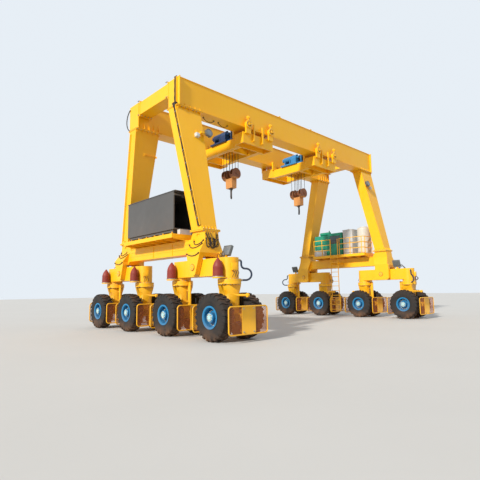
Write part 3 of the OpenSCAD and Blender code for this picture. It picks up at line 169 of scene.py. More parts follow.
class Finish(Nodes):
    """A procedural material on Object coordinates, built up in layers."""

    def __init__(self, name, colour, rough=0.5, metal=0.0):
        self.material = bpy.data.materials.new(name)
        self.material.use_nodes = True
        self.tree = self.material.node_tree
        self.shader = self.tree.nodes["Principled BSDF"]
        self.shader.inputs["Roughness"].default_value = rough
        self.shader.inputs["Metallic"].default_value = metal
        coords = self.add("ShaderNodeTexCoord")
        self.place = coords.outputs["Object"]
        self.facing = coords.outputs["Normal"]
        base = self.add("ShaderNodeRGB")
        base.outputs[0].default_value = (*colour, 1)
        self.colour = base.outputs[0]
        self.height = None

    def noise(self, scale, detail=3.0, stretch=(1, 1, 1), rough=0.55):
        mapping = self.add("ShaderNodeMapping")
        mapping.inputs["Scale"].default_value = stretch
        self.join(self.place, mapping.inputs["Vector"])
        node = self.add("ShaderNodeTexNoise")
        node.inputs["Scale"].default_value = scale
        node.inputs["Detail"].default_value = detail
        node.inputs["Roughness"].default_value = rough
        self.join(mapping.outputs[0], node.inputs["Vector"])
        return node.outputs["Fac"]

    def between(self, value, low, high, to_low=0.0, to_high=1.0):
        node = self.add("ShaderNodeMapRange")
        node.inputs["From Min"].default_value = low
        node.inputs["From Max"].default_value = high
        node.inputs["To Min"].default_value = to_low
        node.inputs["To Max"].default_value = to_high
        self.join(value, node.inputs["Value"])
        return node.outputs["Result"]

    def axis(self, source, name):
        node = self.add("ShaderNodeSeparateXYZ")
        self.join(source, node.inputs[0])
        return node.outputs[name]

    def lay(self, amount, colour):
        """Another colour over what is there, by a factor."""
        node = self.add("ShaderNodeMix", data_type="RGBA")
        self.join(amount, node.inputs[0])
        self.join(self.colour, node.inputs[6])
        node.inputs[7].default_value = (*colour, 1)
        self.colour = node.outputs[2]

    def mottled(self, colour, scale, detail, low, high, most, rough=0.55):
        """Another colour in patches: none below one level of a noise, and the most above another."""
        self.lay(self.between(self.noise(scale, detail, rough=rough), low, high, 0.0, most), colour)

    def streaked(self, colour, low, high, most, across=7.0, down=0.6):
        """Another colour in runs that go down the object."""
        self.lay(self.between(self.noise(1.0, 5.0, (across, across, down)), low, high, 0.0, most), colour)

    def raise_by(self, value, amount=1.0):
        layer = self.math("MULTIPLY", value, amount)
        self.height = layer if self.height is None else self.math("ADD", self.height, layer)

    def dusty(self, low, high, strength):
        """Dust that settles low down and on faces that look up, in patches."""
        near_ground = self.between(self.axis(self.place, "Z"), high, low)
        upward = self.between(self.axis(self.facing, "Z"), 0.35, 0.95, 0.0, 0.55)
        patch = self.between(self.noise(2.3, 5.0), 0.32, 0.72)
        amount = self.math("MAXIMUM", near_ground, upward)
        amount = self.math("MULTIPLY", amount, patch)
        self.lay(self.math("MULTIPLY", amount, strength), DUST)

    def roughness(self, low, high):
        self.join(self.between(self.noise(3.0, 4.0), 0.3, 0.7, low, high), self.shader.inputs["Roughness"])

    def done(self, bump=0.3, distance=0.002):
        self.join(self.colour, self.shader.inputs["Base Color"])
        if self.height is not None:
            node = self.add("ShaderNodeBump")
            node.inputs["Strength"].default_value = bump
            node.inputs["Distance"].default_value = distance
            self.join(self.height, node.inputs["Height"])
            self.join(node.outputs[0], self.shader.inputs["Normal"])
        return self.material


def painted(name, colour, shade, dust_top, dust, rough=(0.32, 0.5), chips=0.72):
    """Gloss enamel over plate: broad changes of tone, runs of dirt, dust and chips."""
    f = Finish(name, colour)
    f.mottled(shade, scale=0.45, detail=3.0, low=0.38, high=0.66, most=0.5)
    f.streaked(toned(shade, 0.62), low=0.56, high=0.82, most=0.16)
    f.dusty(0.2, dust_top, dust)
    f.mottled(CHIP, scale=19.0, detail=6.0, low=chips, high=chips + 0.03, most=0.8, rough=0.7)
    f.roughness(*rough)
    f.raise_by(f.noise(7.0, 2.0), 0.6)
    f.raise_by(f.noise(120.0, 2.0), 0.12)
    return f.done(bump=0.18, distance=0.004)


def bare_metal(name, colour, rough=(0.35, 0.6), metal=0.85, rust=0.4):
    f = Finish(name, colour, metal=metal)
    f.mottled(RUST, scale=6.0, detail=6.0, low=0.5, high=0.7, most=rust)
    f.mottled(toned(colour, 0.6), scale=1.4, detail=4.0, low=0.4, high=0.7, most=0.3)
    f.roughness(*rough)
    f.raise_by(f.noise(40.0, 4.0))
    return f.done(bump=0.25)


def moulded(name, colour, shade, rough=(0.4, 0.55), dust=0.25):
    """Moulded plastic with faint mottling, run-off streaks and dust on its shoulders."""
    f = Finish(name, colour)
    f.mottled(shade, scale=2.2, detail=4.0, low=0.4, high=0.7, most=0.4)
    f.streaked(toned(shade, 0.75), low=0.52, high=0.8, most=0.3, across=9.0)
    f.dusty(3.9, 4.4, dust)
    f.roughness(*rough)
    f.raise_by(f.noise(60.0, 3.0))
    return f.done(bump=0.12)


def rubber(name, colour, bloom, low, high, most, grain=90.0):
    """Rubber with a bloom in patches, and dust between two heights."""
    f = Finish(name, colour)
    f.mottled(bloom, scale=3.0, detail=6.0, low=0.35, high=0.7, most=most)
    f.dusty(low, high, 0.5)
    f.shader.inputs["Specular IOR Level"].default_value = 0.3
    f.roughness(0.7, 0.92)
    f.raise_by(f.noise(grain, 5.0))
    return f.done(bump=0.35, distance=0.003)


def laid_rope(name, colour):
    """Stranded steel rope: slanting strands along a fall, greased in patches."""
    f = Finish(name, colour, metal=0.7)
    wave = f.add("ShaderNodeTexWave", wave_type="BANDS", bands_direction="DIAGONAL")
    wave.inputs["Scale"].default_value = 14.0
    wave.inputs["Distortion"].default_value = 0.6
    f.join(f.place, wave.inputs["Vector"])
    f.lay(f.between(wave.outputs["Fac"], 0.2, 0.7, 0.75, 0.0), (0.02, 0.018, 0.016))
    f.mottled((0.06, 0.045, 0.03), scale=3.0, detail=4.0, low=0.45, high=0.7, most=0.5)
    f.roughness(0.35, 0.6)
    f.raise_by(wave.outputs["Fac"])
    return f.done(bump=0.6, distance=0.004)


def glass(name, colour):
    f = Finish(name, colour, rough=0.12)
    f.mottled(toned(colour, 1.8), scale=3.0, detail=4.0, low=0.5, high=0.8, most=0.4)
    f.shader.inputs["Coat Weight"].default_value = 0.6
    return f.done()


def block_paint(name, axle):
    """The hook blocks' ochre, with the sheave nest browner than the housing below it."""
    f = Finish(name, (0.62, 0.28, 0.075))
    f.mottled((0.5, 0.2, 0.055), scale=0.9, detail=3.0, low=0.38, high=0.66, most=0.5)
    nest = f.between(f.axis(f.place, "Z"), axle - 0.24, axle - 0.16)
    f.lay(f.math("MULTIPLY", nest, 0.85), (0.17, 0.055, 0.028))
    f.streaked((0.12, 0.05, 0.025), low=0.54, high=0.8, most=0.5, across=9.0, down=0.8)
    f.mottled((0.1, 0.05, 0.03), scale=19.0, detail=6.0, low=0.66, high=0.69, most=0.8, rough=0.7)
    f.roughness(0.4, 0.6)
    f.raise_by(f.noise(9.0, 3.0))
    return f.done(bump=0.2, distance=0.004)


FINISHES = {}


def of_slot(kind, slot, *looks, **more):
    """A finish of the record: its material, and its slot."""
    FINISHES[slot] = kind(slot, *looks, **more)
    return FINISHES[slot], slot


YELLOW = of_slot(painted, "yellow_paint", (0.95, 0.49, 0.006), (0.93, 0.43, 0.005), 3.3, 0.28)
of_slot(painted, "grey_panel", (0.088, 0.085, 0.083), (0.068, 0.066, 0.065), 5.2, 0.3,
        (0.45, 0.6), chips=0.78)
GREEN = of_slot(painted, "green_paint", (0.012, 0.27, 0.16), (0.01, 0.22, 0.13), 5.0, 0.25)
WHITE = of_slot(moulded, "white_plastic", (0.6, 0.61, 0.61), (0.53, 0.53, 0.52))
of_slot(moulded, "cream_plastic", (0.6, 0.575, 0.51), (0.54, 0.505, 0.44))
of_slot(bare_metal, "lamp_metal", (0.34, 0.35, 0.36), rust=0.15)
BLACK = of_slot(rubber, "cable_black", (0.022, 0.022, 0.024), (0.1, 0.07, 0.05), 1.5, 4.2, 0.35, 160.0)
of_slot(painted, "dark_blue_paint", (0.009, 0.04, 0.125), (0.007, 0.028, 0.085), 5.0, 0.2, chips=0.7)
of_slot(painted, "light_blue_paint", (0.025, 0.2, 0.46), (0.02, 0.15, 0.36), 5.0, 0.2, chips=0.7)
ROPE = of_slot(laid_rope, "wire_rope", (0.12, 0.115, 0.11))
of_slot(painted, "ochre_paint", (0.6, 0.27, 0.065), (0.47, 0.18, 0.045), 5.0, 0.3, chips=0.66)
of_slot(bare_metal, "forged_steel", (0.09, 0.085, 0.085), (0.45, 0.7), 0.6, 0.3)
TYRE = of_slot(rubber, "tyre_rubber", (0.019, 0.018, 0.018), (0.058, 0.042, 0.033), 0.0, 0.5, 0.5)
of_slot(painted, "blue_paint", (0.01, 0.19, 0.4), (0.008, 0.14, 0.31), 1.0, 0.3)

# Finishes of the small fittings, each with the slot that it is nearest to, if any
MAROON = painted("maroon_bellows", (0.25, 0.026, 0.018), (0.17, 0.018, 0.014), 3.4, 0.25, (0.5, 0.7),
                 chips=0.8), None
# The guard strands are orange-brown, darker than the yellow paint of the guards: this is partly rust and
# dust, and partly painted shade for the strands' sides.
STRAND = painted("strand_paint", (0.46, 0.13, 0.022), (0.26, 0.06, 0.018), 1.3, 0.25, (0.5, 0.7),
                 chips=0.85), "yellow_paint"
HUB = painted("hub_enamel", (0.42, 0.66, 0.68), (0.3, 0.52, 0.56), 1.2, 0.25, chips=0.74), "blue_paint"
BOLT = bare_metal("bolt_zinc", (0.46, 0.42, 0.36), (0.35, 0.55), 0.7, 0.25), "forged_steel"
GLASS = glass("lamp_glass", (0.16, 0.18, 0.2)), "lamp_metal"
SLATE = painted("lamp_case", (0.14, 0.15, 0.15), (0.1, 0.11, 0.11), 3.4, 0.3, (0.4, 0.6),
                chips=0.8), "lamp_metal"
PANE = glass("cab_glass", (0.03, 0.05, 0.05)), None
SLEEVE = rubber("hose_sleeve", (0.02, 0.036, 0.072), (0.08, 0.07, 0.06), 1.5, 2.2, 0.3,
                160.0), "cable_black"
# A dark brown for the joints that also serves as painted shade: along the flanged joints of the legs, round
# the foot of each pin cap, and in the recess of each trolley hub.
SEAM_AND_SHADE = painted("joint_seam_and_shade", (0.13, 0.045, 0.02), (0.09, 0.035, 0.018), 3.4, 0.2, (0.6, 0.8),
               chips=0.8), None


def dress_nodes():
    """Each CAD node's finish: its slot's, but for the hook blocks and what holds the floodlights."""
    for part in frame["record"]["subparts"]:
        node = NODES[part["node"]]
        node.data.materials.clear()
        node.data.materials.append(FINISHES[part["material_slot"]])
    for k, axle in BLOCK_AXLE_Z.items():
        NODES[f"hook_block_{k}"].data.materials[0] = block_paint(f"block_paint_{k}", axle)
    NODES["floodlights"].data.materials[0] = YELLOW[0]


dress_nodes()


# Meshes

def mesh_of(verts, faces, name="shape"):
    mesh = bpy.data.meshes.new(name)
    mesh.from_pydata([tuple(v) for v in verts], [], faces)
    return mesh


def mesh_from(work, name="shape"):
    mesh = bpy.data.meshes.new(name)
    work.to_mesh(mesh)
    work.free()
    return mesh


def revolved(profile, steps):
    """A profile of (radius, height) turned round Z. A radius of 0 closes a pole."""
    verts, rings, faces = [], [], []
    for r, z in profile:
        if r < 1e-6:
            rings.append([len(verts)])
            verts.append((0.0, 0.0, z))
        else:
            rings.append(range(len(verts), len(verts) + steps))
            verts += [(r * cos(2 * pi * k / steps), r * sin(2 * pi * k / steps), z)
                      for k in range(steps)]
    for a, b in zip(rings, rings[1:]):
        for k in range(steps):
            j = (k + 1) % steps
            if len(a) == 1 and len(b) == 1:
                continue
            if len(a) == 1:
                faces.append((a[0], b[j], b[k]))
            elif len(b) == 1:
                faces.append((a[k], a[j], b[0]))
            else:
                faces.append((a[k], a[j], b[j], b[k]))
    return mesh_of(verts, faces)


def outward(mesh):
    """Merges a mesh's doubles and turns its normals outward."""
    work = bmesh.new()
    work.from_mesh(mesh)
    bmesh.ops.remove_doubles(work, verts=work.verts, dist=1e-5)
    bmesh.ops.recalc_face_normals(work, faces=work.faces)
    work.to_mesh(mesh)
    work.free()
    return mesh


def turned_part(profile, steps=40):
    return outward(revolved(profile, steps))


def slab(lo, hi, bevel=0.0):
    """A plate between two corners, with its edges broken."""
    work = bmesh.new()
    bmesh.ops.create_cube(work, size=1.0)
    size = [h - l for l, h in zip(lo, hi)]
    middle = [(h + l) / 2 for l, h in zip(lo, hi)]
    bmesh.ops.scale(work, vec=size, verts=work.verts)
    bmesh.ops.translate(work, vec=middle, verts=work.verts)
    if bevel:
        bmesh.ops.bevel(work, geom=work.edges[:], offset=bevel, segments=2, affect="EDGES", profile=0.5)
    return mesh_from(work)


def tube(points, radius, sides=8):
    """A round tube along points, with closed ends."""
    points = [Vector(p) for p in points]
    verts, faces = [], []
    up = Vector((0.0, 0.0, 1.0))
    side = None
    for k, p in enumerate(points):
        ahead = (points[min(k + 1, len(points) - 1)] - points[max(k - 1, 0)]).normalized()
        if side is None:
            side = ahead.cross(up if abs(ahead.z) < 0.9 else Vector((1.0, 0.0, 0.0))).normalized()
        else:
            side = (side - ahead * side.dot(ahead)).normalized()
        over = ahead.cross(side)
        for j in range(sides):
            a = 2 * pi * j / sides
            verts.append(p + (side * cos(a) + over * sin(a)) * radius)
    for k in range(len(points) - 1):
        for j in range(sides):
            i = (j + 1) % sides
            faces.append((k * sides + j, k * sides + i, (k + 1) * sides + i, (k + 1) * sides + j))
    faces.append(tuple(reversed(range(sides))))
    faces.append(tuple(range((len(points) - 1) * sides, len(points) * sides)))
    return mesh_of(verts, faces)


def swag(start, end, sag, bulge, radius):
    """A thin hose that hangs from one point to another and stands off to -Y in its middle."""
    steps = 14
    path = []
    for k in range(steps + 1):
        t = k / steps
        drop = 4 * t * (1 - t)
        path.append((start[0] + (end[0] - start[0]) * t,
                     start[1] + (end[1] - start[1]) * t - bulge * drop,
                     start[2] + (end[2] - start[2]) * t - sag * drop))
    return tube(path, radius)


def arc(cx, cz, r, start, stop, steps=10):
    """Points on an arc in X and Z."""
    angles = [radians(start + (stop - start) * k / steps) for k in range(steps + 1)]
    return [(cx + r * cos(a), 0.0, cz + r * sin(a)) for a in angles]


def joined(pairs):
    work = bmesh.new()
    for mesh, matrix in pairs:
        copy = mesh.copy()
        copy.transform(matrix)
        if matrix.determinant() < 0:
            copy.flip_normals()
        work.from_mesh(copy)
        bpy.data.meshes.remove(copy)
    return mesh_from(work)


def hex_bolt(across, head, washer):
    """A hexagon head on its washer, pointing along Z from its seat."""
    r = across / sqrt(3)
    head_part = revolved([(0, 0.004), (r, 0.004), (r, head - 0.003), (r * 0.84, head), (0, head)], 6)
    under = revolved([(0, 0), (washer, 0), (washer, 0.004), (0, 0.004)], 16)
    return joined([(head_part, Matrix()), (under, Matrix())])


def moved(mesh, matrix):
    """A copy of a mesh, placed by a matrix."""
    copy = mesh.copy()
    copy.transform(matrix)
    return copy


def at(x, y, z):
    return Matrix.Translation((x, y, z))


def turned(axis, degrees):
    return Matrix.Rotation(radians(degrees), 4, axis)


BOLT_MESH = hex_bolt(across=0.046, head=0.019, washer=0.03)
NUT_MESH = hex_bolt(across=0.05, head=0.028, washer=0.032)


# Geometry Nodes trees

class Tree(Nodes):
    """A Geometry Nodes tree with named inputs that ends in realized, painted geometry."""

    def __init__(self, name, inputs):
        self.tree = bpy.data.node_groups.new(name, "GeometryNodeTree")
        face = self.tree.interface
        face.new_socket("Geometry", in_out="OUTPUT", socket_type="NodeSocketGeometry")
        face.new_socket("Geometry", in_out="INPUT", socket_type="NodeSocketGeometry")
        for label, kind in inputs:
            face.new_socket(label, in_out="INPUT", socket_type=f"NodeSocket{kind}")
        face.new_socket("Material", in_out="INPUT", socket_type="NodeSocketMaterial")
        self.source = self.add("NodeGroupInput")

    def along(self, vector, amount):
        node = self.add("ShaderNodeVectorMath", operation="SCALE")
        self.join(vector, node.inputs[0])
        self.join(amount, node.inputs["Scale"])
        return node.outputs[0]

    def combine(self, **values):
        node = self.add("ShaderNodeCombineXYZ")
        for label, value in values.items():
            self.join(value, node.inputs[label])
        return node.outputs[0]

    def index(self):
        return self.add("GeometryNodeInputIndex").outputs[0]

    def points(self, count, place=None):
        node = self.add("GeometryNodePoints")
        self.join(count, node.inputs["Count"])
        if place is None:
            return node.outputs[0]
        move = self.add("GeometryNodeSetPosition")
        self.join(node.outputs[0], move.inputs["Geometry"])
        self.join(place, move.inputs["Position"])
        return move.outputs[0]

    def instances(self, points, shape, turn=None):
        node = self.add("GeometryNodeInstanceOnPoints")
        self.join(points, node.inputs["Points"])
        self.join(shape, node.inputs["Instance"])
        if turn is not None:
            self.join(turn, node.inputs["Rotation"])
        return node.outputs[0]

    def realized(self, geometry):
        node = self.add("GeometryNodeRealizeInstances")
        self.join(geometry, node.inputs[0])
        return node.outputs[0]

    def end(self, geometry):
        paint = self.add("GeometryNodeSetMaterial")
        self.join(geometry, paint.inputs["Geometry"])
        self.join(self.source.outputs["Material"], paint.inputs["Material"])
        out = self.add("NodeGroupOutput")
        self.join(paint.outputs[0], out.inputs[0])
        return self.tree


def ring_tree():
    t = Tree("round_a_circle", [("Count", "Int"), ("Axis", "Vector")])
    s = t.source.outputs
    angle = t.math("DIVIDE", t.math("MULTIPLY", t.index(), 2 * pi), s["Count"])
    return t.end(t.realized(t.instances(t.points(s["Count"]), s["Geometry"], t.along(s["Axis"], angle))))


def row_tree():
    t = Tree("along_a_row", [("Count", "Int"), ("Step", "Vector")])
    s = t.source.outputs
    places = t.points(s["Count"], t.along(s["Step"], t.index()))
    return t.end(t.realized(t.instances(places, s["Geometry"])))


def lattice_tree():
    """Two layers of slanting strands, cut to the outline of a panel that stands in X and Z."""
    t = Tree("expanded_mesh", [("Count", "Int"), ("Pitch", "Float"), ("Strand", "Float"),
                               ("Thickness", "Float"), ("Length", "Float"), ("Slant", "Float")])
    s = t.source.outputs
    middle = t.math("DIVIDE", t.math("SUBTRACT", s["Count"], 1.0), 2.0)
    across = t.math("MULTIPLY", t.math("SUBTRACT", t.index(), middle), s["Pitch"])
    spread = t.points(s["Count"], t.combine(X=across))
    bar = t.add("GeometryNodeMeshCube")
    t.join(t.combine(X=s["Strand"], Y=s["Thickness"], Z=s["Length"]), bar.inputs["Size"])
    cut = t.add("GeometryNodeMeshBoolean", operation="INTERSECT", solver="MANIFOLD")
    both = t.add("GeometryNodeJoinGeometry")
    for way in (1.0, -1.0):
        turn = t.combine(Y=t.math("MULTIPLY", s["Slant"], way))
        layer = t.realized(t.instances(spread, bar.outputs[0], turn))
        shift = t.add("GeometryNodeTransform")
        t.join(layer, shift.inputs["Geometry"])
        t.join(t.combine(Y=t.math("MULTIPLY", s["Thickness"], 0.505 * way)), shift.inputs["Translation"])
        t.join(shift.outputs[0], both.inputs[0])
    t.join(both.outputs[0], cut.inputs["Mesh 2"])
    t.join(s["Geometry"], cut.inputs["Mesh 2"])
    return t.end(cut.outputs["Mesh"])


RING = ring_tree()
ROW = row_tree()
LATTICE = lattice_tree()


def grown(mesh, group, finish, **values):
    """The plain mesh that a tree makes from a mesh."""
    holder = placed("holder", mesh)
    modifier = holder.modifiers.new("tree", "NODES")
    modifier.node_group = group
    ids = {s.name: s.identifier for s in group.interface.items_tree if s.in_out == "INPUT"}
    modifier[ids["Material"]] = finish[0]
    for label, value in values.items():
        modifier[ids[label]] = value
    bpy.context.view_layer.update()
    result = bpy.data.meshes.new_from_object(holder.evaluated_get(bpy.context.evaluated_depsgraph_get()))
    bpy.data.objects.remove(holder)
    return result


def ring(mesh, count, finish=BOLT, axis=(0.0, 0.0, 1.0)):
    return grown(mesh, RING, finish, Count=count, Axis=axis)


def row(mesh, count, step, finish=BOLT):
    return grown(mesh, ROW, finish, Count=count, Step=step)


# Pieces by body

pieces = {}


def put(name, finish, mesh, matrix=None, body="frame"):
    """Adds a mesh to the piece of that name, which moves with one body and has one finish."""
    entry = pieces.setdefault(name, (body, finish, []))
    entry[2].append((mesh, matrix or Matrix()))


def shown(name, mesh):
    """An object with smooth faces between its sharp edges."""
    mesh.polygons.foreach_set("use_smooth", [True] * len(mesh.polygons))
    mesh.set_sharp_from_angle(angle=SHARP_ANGLE)
    return placed(name, mesh)


def finish_pieces():
    for name, (body, (material, slot), parts) in pieces.items():
        mesh = joined(parts)
        mesh.name = name
        mesh.materials.clear()
        mesh.materials.append(material)
        mesh.polygons.foreach_set("material_index", [0] * len(mesh.polygons))
        piece = shown(name, mesh)
        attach(piece, body)


def on_frame(end):
    """From a wheel frame's own axes, with its outer side towards -X, to the crane's."""
    if end == "near":
        return at(-HALF_SPAN, 0, 0)
    return at(HALF_SPAN, 0, 0) @ Matrix.Diagonal((-1, 1, 1, 1))


def on_side(side):
    return Matrix.Diagonal((1, -1 if side == "back" else 1, 1, 1))


def corners():
    """Each quarter of the crane: its name, its equaliser's body, and its axes."""
    for end in ENDS:
        for side in SIDES:
            yield f"{end}_{side}", BODY_OF[f"equaliser_{end}_{side}"], on_frame(end) @ on_side(side)


def axles():
    """Each axle: its name, and where it crosses its strut's axis in plan."""
    for end in ENDS:
        x = -HALF_SPAN if end == "near" else HALF_SPAN
        for i, y in enumerate(STRUT_Y, 1):
            yield f"{end}_{i}", x, y


# Wheels and their guards

LUG_H = 0.034
LUG_COUNT = 23
NUT_COUNT = 16
NUT_R = 0.262
NUT_SEAT = 0.03
STUD_COUNT = 8
STUD_R = 0.105
STUD_SEAT = 0.224
MESH_LAP = 0.004
PANEL_HALF_T = 0.02
PLATE_BOLT_IN = 0.075
PLATE_BOLT_UP = 0.385
PLATE_FACE = 0.015
SHEET_HALF_T = 0.0036


def tyre_shapes():
    """The carcass of one tyre, and its ring of tread lugs, about an axle along X."""
    r, w = TYRE_R - LUG_H, TYRE_W / 2
    half = [(RIM_R - 0.06, 0.0), (RIM_R - 0.06, w * 0.72), (RIM_R - 0.022, w * 0.8),
            (RIM_R + 0.01, w * 0.87), (RIM_R + 0.05, w * 0.93), (RIM_R + 0.075, w * 0.925),
            (RIM_R + 0.09, w * 0.955), (0.56, w * 0.985), (0.6, w * 0.995), (0.61, w * 0.985),
            (0.63, w * 0.985), (0.64, w * 0.99), (0.68, w * 0.975), (0.72, w * 0.93), (0.755, w * 0.86),
            (0.778, w * 0.76), (r - 0.004, w * 0.5), (r, 0.0)]
    outline = half + [(a, -b) for a, b in reversed(half[1:-1])]
    carcass = revolved(outline + [outline[0]], 72)
    carcass.transform(turned("Y", 90))
    stations = [  # share of the half width, top radius, foot radius, turn, half width of the lug
        (0.02, TYRE_R - 0.002, 0.775, 0.000, 0.034), (0.16, TYRE_R, 0.775, 0.012, 0.05),
        (0.42, TYRE_R, 0.772, 0.05, 0.056), (0.7, TYRE_R - 0.006, 0.76, 0.082, 0.06),
        (0.9, TYRE_R - 0.024, 0.735, 0.094, 0.064), (0.985, TYRE_R - 0.058, 0.7, 0.097, 0.06),
        (0.992, TYRE_R - 0.105, 0.69, 0.098, 0.046),
    ]
    verts, faces = [], []
    for share, top, foot, turn, side in stations:
        for offset, radius in ((-side, foot), (-side * 0.82, top), (side * 0.82, top), (side, foot)):
            a = turn + offset / TYRE_R
            verts.append((share * w, radius * sin(a), radius * cos(a)))
    for k in range(len(stations) - 1):
        for j in range(4):
            i = (j + 1) % 4
            faces.append((4 * k + j, 4 * k + 4 + j, 4 * k + 4 + i, 4 * k + i))
    faces.append((0, 1, 2, 3))
    last = 4 * (len(stations) - 1)
    faces.append((last + 3, last + 2, last + 1, last))
    lug = mesh_of(verts, faces)
    other = Matrix.Rotation(pi / LUG_COUNT, 4, "X") @ Matrix.Diagonal((-1, 1, 1, 1))
    pair = joined([(lug, Matrix()), (lug, other)])
    lugs = ring(pair, LUG_COUNT, TYRE, (1.0, 0.0, 0.0))
    return outward(carcass), outward(lugs)


def make_wheels():
    carcass, lugs = tyre_shapes()
    nuts = ring(moved(NUT_MESH, at(0, NUT_R, NUT_SEAT)), NUT_COUNT)
    studs = ring(moved(BOLT_MESH, at(0, STUD_R, STUD_SEAT)), STUD_COUNT)
    cap = turned_part([(0, 0.222), (0.134, 0.222), (0.134, 0.228), (0.076, 0.23), (0.072, 0.243),
                       (0.03, 0.247), (0, 0.247)])
    for name, x, y in axles():
        body = BODY_OF[f"tyres_{name}"]
        for s in (-1, 1):
            centre = at(x + s * TYRE_X, y, AXLE_Z)
            put(f"tread_{name}", TYRE, carcass, centre, body)
            put(f"tread_{name}", TYRE, lugs, centre, body)
            outer = centre @ turned("Y", 90 * s)
            put(f"wheel_nuts_{name}", BOLT, nuts, outer, body)
            put(f"wheel_nuts_{name}", BOLT, studs, outer, body)
            put(f"hub_caps_{name}", HUB, cap, outer, body)


def guard_panel():
    """One half of a guard's opening, as a panel in X and Z with its outer corners rounded."""
    x0, x1 = PLATE_HALF - MESH_LAP, GUARD_HALF + MESH_LAP
    h = GUARD_HALF_H + MESH_LAP
    r = GUARD_BEND
    outline = [(x0, -h)]
    for z, start in ((-h + r, -pi / 2), (h - r, 0.0)):
        for k in range(7):
            a = start + k * pi / 12
            outline.append((x1 - r + r * cos(a), z + r * sin(a)))
    outline.append((x0, h))
    n = len(outline)
    verts = [(x, -PANEL_HALF_T, z) for x, z in outline] + [(x, PANEL_HALF_T, z) for x, z in outline]
    faces = [tuple(range(n)), tuple(reversed(range(n, 2 * n)))]
    faces += [(k, n + k, n + (k + 1) % n, (k + 1) % n) for k in range(n)]
    return outward(mesh_of(verts, faces))


def make_guards():
    """Expanded mesh in the guards, and the bolts of their plates."""
    sheet = grown(guard_panel(), LATTICE, STRAND, Count=52, Pitch=0.064, Strand=0.0125, Thickness=0.0035,
                  Length=3.2, Slant=radians(45))
    for name, x, y in axles():
        body = BODY_OF[f"strut_{name}"]
        for s in (-1, 1):
            for u in (-1, 1):
                place = at(x, y + s * GUARD_Y, GUARD_MID_Z) @ Matrix.Diagonal((u, 1, 1, 1))
                put(f"guard_mesh_{name}", STRAND, sheet, place, body)
                for v in (-1, 1):
                    spot = place @ at(PLATE_HALF - PLATE_BOLT_IN, s * PLATE_FACE, v * PLATE_BOLT_UP)
                    put(f"guard_bolts_{name}", BOLT, BOLT_MESH, spot @ turned("X", -90 * s), body)


def make_columns():
    """The struts' own shapes without their coarse guard sheets, which the fine mesh stands for."""
    for name, _, y in axles():
        node = f"strut_{name}"
        work = bmesh.new()
        work.from_mesh(NODES[node].data)
        bmesh.ops.remove_doubles(work, verts=work.verts, dist=1e-5)
        thin = [f for f in work.faces
                if all(abs(abs(v.co.y - y) - GUARD_Y) < SHEET_HALF_T for v in f.verts)]
        bmesh.ops.delete(work, geom=thin, context="FACES")
        mesh = mesh_from(work, f"column_{name}")
        mesh.materials.append(YELLOW[0])
        piece = shown(f"column_{name}", mesh)
        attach(piece, BODY_OF[node])
        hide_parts(node)


# Fittings of the equalisers

COVER_X = -0.53
COVER_Z = 2.2
FOLD_COUNT = 8
FOLD_PITCH = 0.042
FOLD_DEPTH = 0.01
HOSE_SPIN = -43
HOSE_R = 0.034
HOSE_TOP = 2.8
HOSE_START = 0.336
HOSE_ELBOW = 0.06
HOSE_FALL = 0.1
HOSE_BEND = 0.14
HOSE_LOOP = 0.205
HOSE_DOWN = 0.43
HOSE_RUN = 0.02
HOSE_END = 0.415
FERRULE_SEATS = (0.34, 0.42)
BEACON_PLACE = (0.3, -PIN_Y - 0.93, 3.02)
BEACON_LEAN = 22
BEACON_H = 0.4
FIN_COUNT = 13
FIN_PITCH = 0.031
VALVE_SPINS = ((-1, -104), (1, 112))
VALVE_FACE = 0.433
VALVE_BOLTS_Y = (-0.08, 0.08)
VALVE_BOLTS_Z = (2.47, 2.65)
THIN_HOSES = ((-0.085, 0.52, 2.19), (0.02, 0.49, 2.2), (0.09, 0.535, 2.18))
THIN_HOSE_IN = 0.4
THIN_HOSE_TOP = 2.44
PIN_BOLTS_R = 0.078
PIN_BOLTS_SEAT = 0.0235


def make_bellows():
    profile = [(0, -0.002), (0.196, -0.002), (0.196, 0.022), (0.186, 0.026)]
    for k in range(FOLD_COUNT):
        z = 0.045 + k * FOLD_PITCH
        swell = 0.192 - 0.0008 * k
        waist = swell - FOLD_DEPTH
        profile += [(waist, z - 0.012), (swell, z), (swell, z + 0.014), (waist, z + 0.026)]
    profile += [(0.176, 0.385), (0.165, 0.42), (0.15, 0.47), (0.122, 0.53), (0.09, 0.58), (0.06, 0.62),
                (0.042, 0.64), (0.04, 0.658), (0.028, 0.672), (0, 0.674)]
    cover = turned_part(profile, 48)
    band = turned_part([(0.197, 0.0), (0.205, 0.003), (0.205, 0.028), (0.197, 0.032), (0.19, 0.032),
                        (0.19, 0.0), (0.197, 0.0)], 48)
    for name, body, axes in corners():
        for s in (-1, 1):
            place = axes @ at(COVER_X, -PIN_Y + s * STRUT_OFF, COVER_Z)
            put(f"bellows_{name}", MAROON, cover, place, body)
            put(f"bellows_bands_{name}", BOLT, band, place, body)


